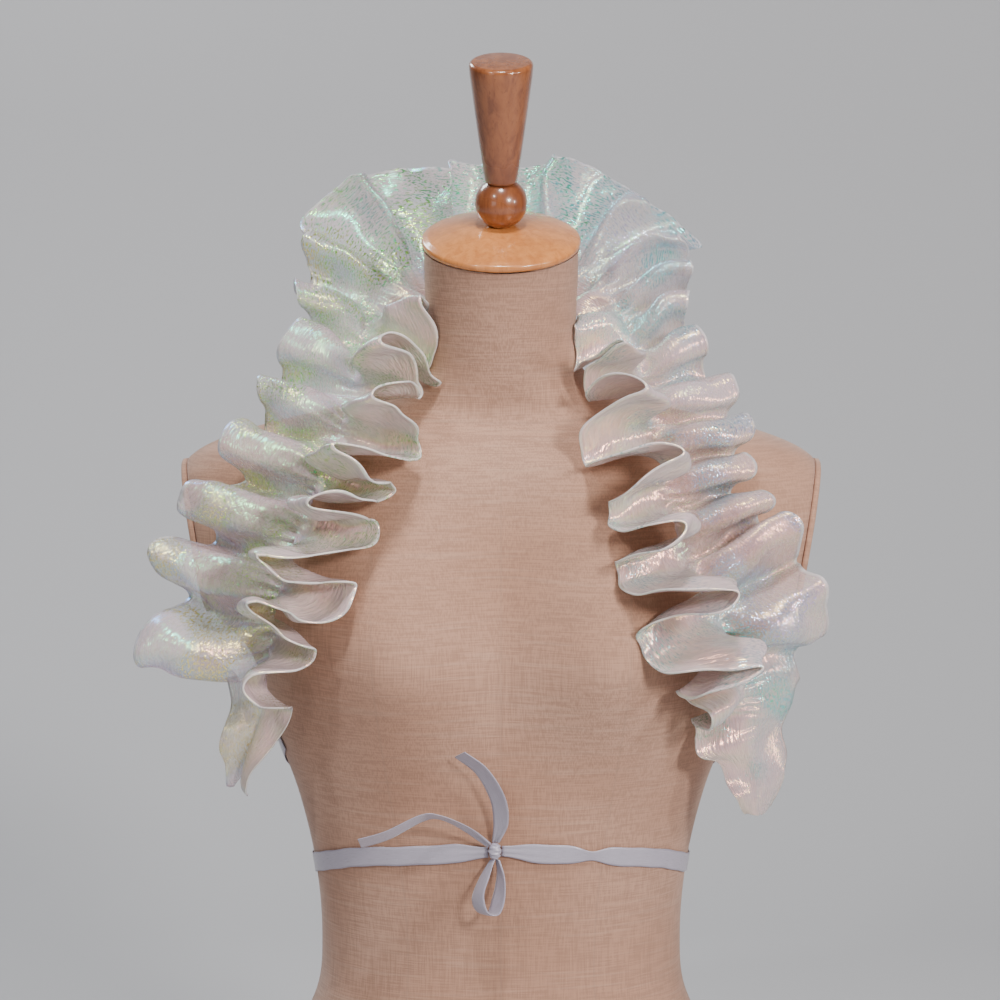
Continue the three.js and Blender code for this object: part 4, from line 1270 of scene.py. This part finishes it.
@dataclass
class Ribbons:
    """The two satin ribbons, their knot, loop and free ends."""

    form: DressForm
    width: float = 12.7
    wall: float = 0.5
    off: float = 1.05
    crossing_lift: float = 1.6
    crossing_spread: float = 26.0
    twist_turn: float = 25.0
    twist_spread: float = 4.5
    twist_pinch: float = 0.5
    twist_lift: float = 1.1
    columns: int = 9
    knot: Tuple[float, float, float] = (-4.0, -94.2, 278.5)
    knot_size: Tuple[float, float, float] = (8.0, 6.6, 11.0)
    knot_gap: float = 0.3

    def side_turn(self, side: Side) -> float:
        """Turn in degrees at which a ribbon leaves the knot's side."""
        section = self.form.sections(np.array(self.knot[2]))
        edge = max(side.value * self.knot[0] + self.knot_size[0] / 2, 0) + self.knot_gap
        share = edge / float(section["half"])
        return math.degrees(math.asin(share ** (float(section["fullness"]) / 2)))

    def run(self, side: Side, material: bpy.types.Material) -> None:
        """Makes one ribbon round the form."""
        first, last = self.side_turn(side), RUN_ROWS[-1][0]
        turns = np.linspace(first, last, 420)
        heights = SmoothTable(RUN_COLUMNS, RUN_ROWS)(turns)["z"]
        line = self.form.point(np.radians(turns) * side.value, heights)
        outward = unit(self.form.slope(line))
        along = unit(np.gradient(line, axis=0))
        upward = unit(np.cross(outward, along))
        across = np.linspace(-1, 1, self.columns)
        lift = self.crossing_lift if side is Side.RIGHT else 0.0
        off = self.off + lift * np.exp(-(((turns - 180) / self.crossing_spread) ** 2))
        twist = np.exp(-(((turns - self.twist_turn) / self.twist_spread) ** 2)) * (side is Side.RIGHT)
        pinch = (0.55 + 0.45 * smoothstep(turns, first, first + 9)) * (1 - self.twist_pinch * twist)
        ripple = 0.35 * np.sin(turns / 7.0) * np.sin(turns / 2.9 + 1.0)
        half_width = (self.width * pinch / 2)[:, None, None]
        grid = line[:, None] + upward[:, None] * (across[None, :, None] * half_width)
        grid = grid + upward[:, None] * ripple[:, None, None]
        surface = self.form.clear(grid - outward[:, None] * 2, 0.0)
        grid = surface + unit(self.form.slope(surface)) * off[:, None, None]
        near_knot = 1 - smoothstep(turns, first + 2, first + 16)
        fold = 0.5 * near_knot[:, None] * np.cos(across * 9)[None, :] ** 2
        fold = fold + self.twist_lift * twist[:, None] * (0.5 + 0.5 * across)[None, :]
        grid = grid + outward[:, None] * fold[..., None]
        length = np.concatenate([[0], np.cumsum(np.linalg.norm(np.diff(line, axis=0), axis=1))])
        name = side.name.lower()
        self.make(f"satin_run_{name}", grid, length, across, f"ribbon_{name}", material)

    def stretch(self, name: str, rows: Rows, node: str, material: bpy.types.Material) -> None:
        """Makes one loose stretch of the tie."""
        at = np.linspace(0, len(rows) - 1, 150)
        row = SmoothTable(TIE_COLUMNS, rows)(at)
        line = np.stack([row[a] for a in "xyz"], -1)
        way = unit(np.stack([row["wx"], row["wy"], row["wz"]], -1))
        across = np.linspace(-1, 1, self.columns)
        grid = line[:, None] + way[:, None] * (across[None, :, None] * (row["width"] / 2)[:, None, None])
        along = unit(np.gradient(line, axis=0))
        face = unit(np.cross(way, along))
        gathered = (1 - smoothstep(row["width"], 5, 12))[:, None] * np.cos(across * 10)[None, :]
        grid = grid + face[:, None] * (0.7 * gathered + 0.35 * (across**2)[None, :])[..., None]
        length = np.concatenate([[0], np.cumsum(np.linalg.norm(np.diff(line, axis=0), axis=1))])
        self.make(name, grid, length, across, node, material)

    def make(
        self,
        name: str,
        grid: np.ndarray,
        length: np.ndarray,
        across: np.ndarray,
        node: str,
        material: bpy.types.Material,
    ) -> None:
        uvs = np.zeros((*grid.shape[:2], 2))
        uvs[..., 0] = length[:, None] * MM
        uvs[..., 1] = across[None, :] * self.width / 2 * MM
        thickness = np.full(grid.shape[:2], self.wall)
        piece = wall_object(name, grid, thickness, uvs, material)
        dress_piece(piece, node)

    def tie(self, material: bpy.types.Material) -> None:
        """Makes the knot as a short wrap of pleated satin."""
        rings, count = 40, 48
        turns = np.linspace(0, 2 * np.pi, count, endpoint=False)
        turn, rise = np.meshgrid(turns, np.linspace(0.02, math.pi - 0.02, rings), indexing="xy")
        pleat = 1 + 0.07 * np.sin(turn * 2 + rise * 9) + 0.04 * np.sin(rise * 15 - turn)
        x = np.sin(rise) ** 0.8 * np.cos(turn) * pleat * self.knot_size[0] / 2
        y = np.sin(rise) ** 0.8 * np.sin(turn) * pleat * self.knot_size[1] / 2
        z = -np.cos(rise) * self.knot_size[2] / 2
        points = np.stack([x, y, z], -1).reshape(-1, 3) + np.array(self.knot)
        uvs = np.stack([turn.ravel() * 0.004, rise.ravel() * 0.003], -1)
        knot = mesh_object("satin_knot", points, capped_rings(rings, count), material, uvs)
        dress_piece(knot, "ribbon_knot")

    def build(self, looks: Mapping[str, bpy.types.Material]) -> None:
        """Makes the runs, the knot, the loop and the free ends."""
        satin = looks["satin"]
        self.run(Side.LEFT, satin)
        self.run(Side.RIGHT, satin)
        self.tie(satin)
        self.stretch("satin_loop", LOOP_ROWS, "ribbon_loop", satin)
        self.stretch("satin_end_up", END_UP_ROWS, "ribbon_end_up", satin)
        self.stretch("satin_end_side", END_SIDE_ROWS, "ribbon_end_side", satin)


# Studio


@dataclass
class Studio:
    """Camera at the photograph's angle, soft lights and a pale floor with a curved back."""

    aim: Tuple[float, float, float] = (-0.0007, 0.0, 0.492)
    distance: float = 2.4
    elevation: float = math.radians(7.5)
    lens: float = 131.7
    floor_back: float = 1.5
    floor_front: float = -3.2
    floor_half: float = 3.0
    wall_height: float = 2.6
    wall_curve: float = 0.7

    def camera(self) -> None:
        """Sets the camera."""
        data = bpy.data.cameras.new("view")
        data.lens = self.lens
        data.sensor_width = 36.0
        camera = bpy.data.objects.new("view", data)
        bpy.context.scene.collection.objects.link(camera)
        aim = Vector(self.aim)
        back = Vector((0, -math.cos(self.elevation), math.sin(self.elevation)))
        camera.location = aim + back * self.distance
        camera.rotation_euler = (aim - camera.location).to_track_quat("-Z", "Y").to_euler()
        bpy.context.scene.camera = camera

    def light(
        self, name: str, place: Sequence[float], power: float, size: float, colour: Colour = (1, 1, 1)
    ) -> None:
        """Adds a square soft light that faces the garment."""
        data = bpy.data.lights.new(name, "AREA")
        data.energy = power
        data.size = size
        data.color = colour
        lamp = bpy.data.objects.new(name, data)
        bpy.context.scene.collection.objects.link(lamp)
        lamp.location = place
        lamp.rotation_euler = (Vector((0, 0, 0.5)) - lamp.location).to_track_quat("-Z", "Y").to_euler()

    def floor(self) -> None:
        """Makes the floor sheet that curves up behind the part."""
        outline = [(self.floor_front, 0.0), (self.floor_back - self.wall_curve, 0.0)]
        for step in range(1, 25):
            turn = math.pi / 2 * step / 24
            outline.append((
                self.floor_back - self.wall_curve + self.wall_curve * math.sin(turn),
                self.wall_curve * (1 - math.cos(turn)),
            ))
        outline.append((self.floor_back, self.wall_height))
        points = [(x, y, z - 0.0005) for y, z in outline for x in (-self.floor_half, self.floor_half)]
        faces = quad_grid(len(outline), 2)
        finish = Finish("studio_paper")
        paper = finish.surface({"Base Color": (0.53, 0.53, 0.545), "Roughness": 0.9})
        sheet = mesh_object("studio_floor", np.array(points) / MM, faces, finish.finish(paper))

    def build(self) -> None:
        """Sets the camera, the floor, the lights and the surroundings."""
        self.camera()
        self.floor()
        self.light("key", (1.3, -1.8, 1.3), 42.0, 0.35, (1.0, 0.97, 0.94))
        self.light("fill", (-1.3, -2.1, 0.7), 4.0, 0.8, (0.94, 0.96, 1.0))
        self.light("top", (0.0, -0.8, 2.2), 28.0, 0.28)
        self.light("back", (-0.9, 1.0, 1.6), 14.0, 0.5, (0.95, 0.98, 1.0))
        self.light("glint", (-1.0, -1.5, 1.8), 9.0, 0.12)
        self.light("glint_side", (1.6, -0.9, 0.9), 7.0, 0.12)
        world = bpy.data.worlds.new("studio_air")
        world.use_nodes = True
        world.node_tree.nodes["Background"].inputs["Color"].default_value = (0.06, 0.06, 0.065, 1.0)
        bpy.context.scene.world = world


def main() -> None:
    """Builds the studio, the dress form and the capelet in order."""
    logging.basicConfig(level=logging.INFO, format="%(message)s")
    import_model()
    Studio().build()
    looks = {
        "linen": LinenFinish().build(),
        "board": BoardFinish("board", (0.52, 0.38, 0.25), (0.4, 0.28, 0.17)).build(),
        "beech": WoodFinish("beech", (0.74, 0.29, 0.085), (0.55, 0.19, 0.05)).build(),
        "stained": WoodFinish("stained", (0.34, 0.115, 0.04), (0.19, 0.055, 0.02)).build(),
        "organza": OrganzaFinish("organza").build(),
        "satin": SatinFinish().build(),
    }
    form = DressForm()
    form.build(looks)
    right = Ruffle(Side.RIGHT, GATHER_RIGHT, FOLDS_RIGHT_OUTER, FOLDS_RIGHT_INNER, form, 11, SETTLED_RIGHT)
    left = Ruffle(Side.LEFT, GATHER_LEFT, FOLDS_LEFT_OUTER, FOLDS_LEFT_INNER, form, 23, SETTLED_LEFT)
    right.build(looks)
    left.build(looks)
    Ribbons(form).build(looks)


if __name__ == "__main__":
    main()
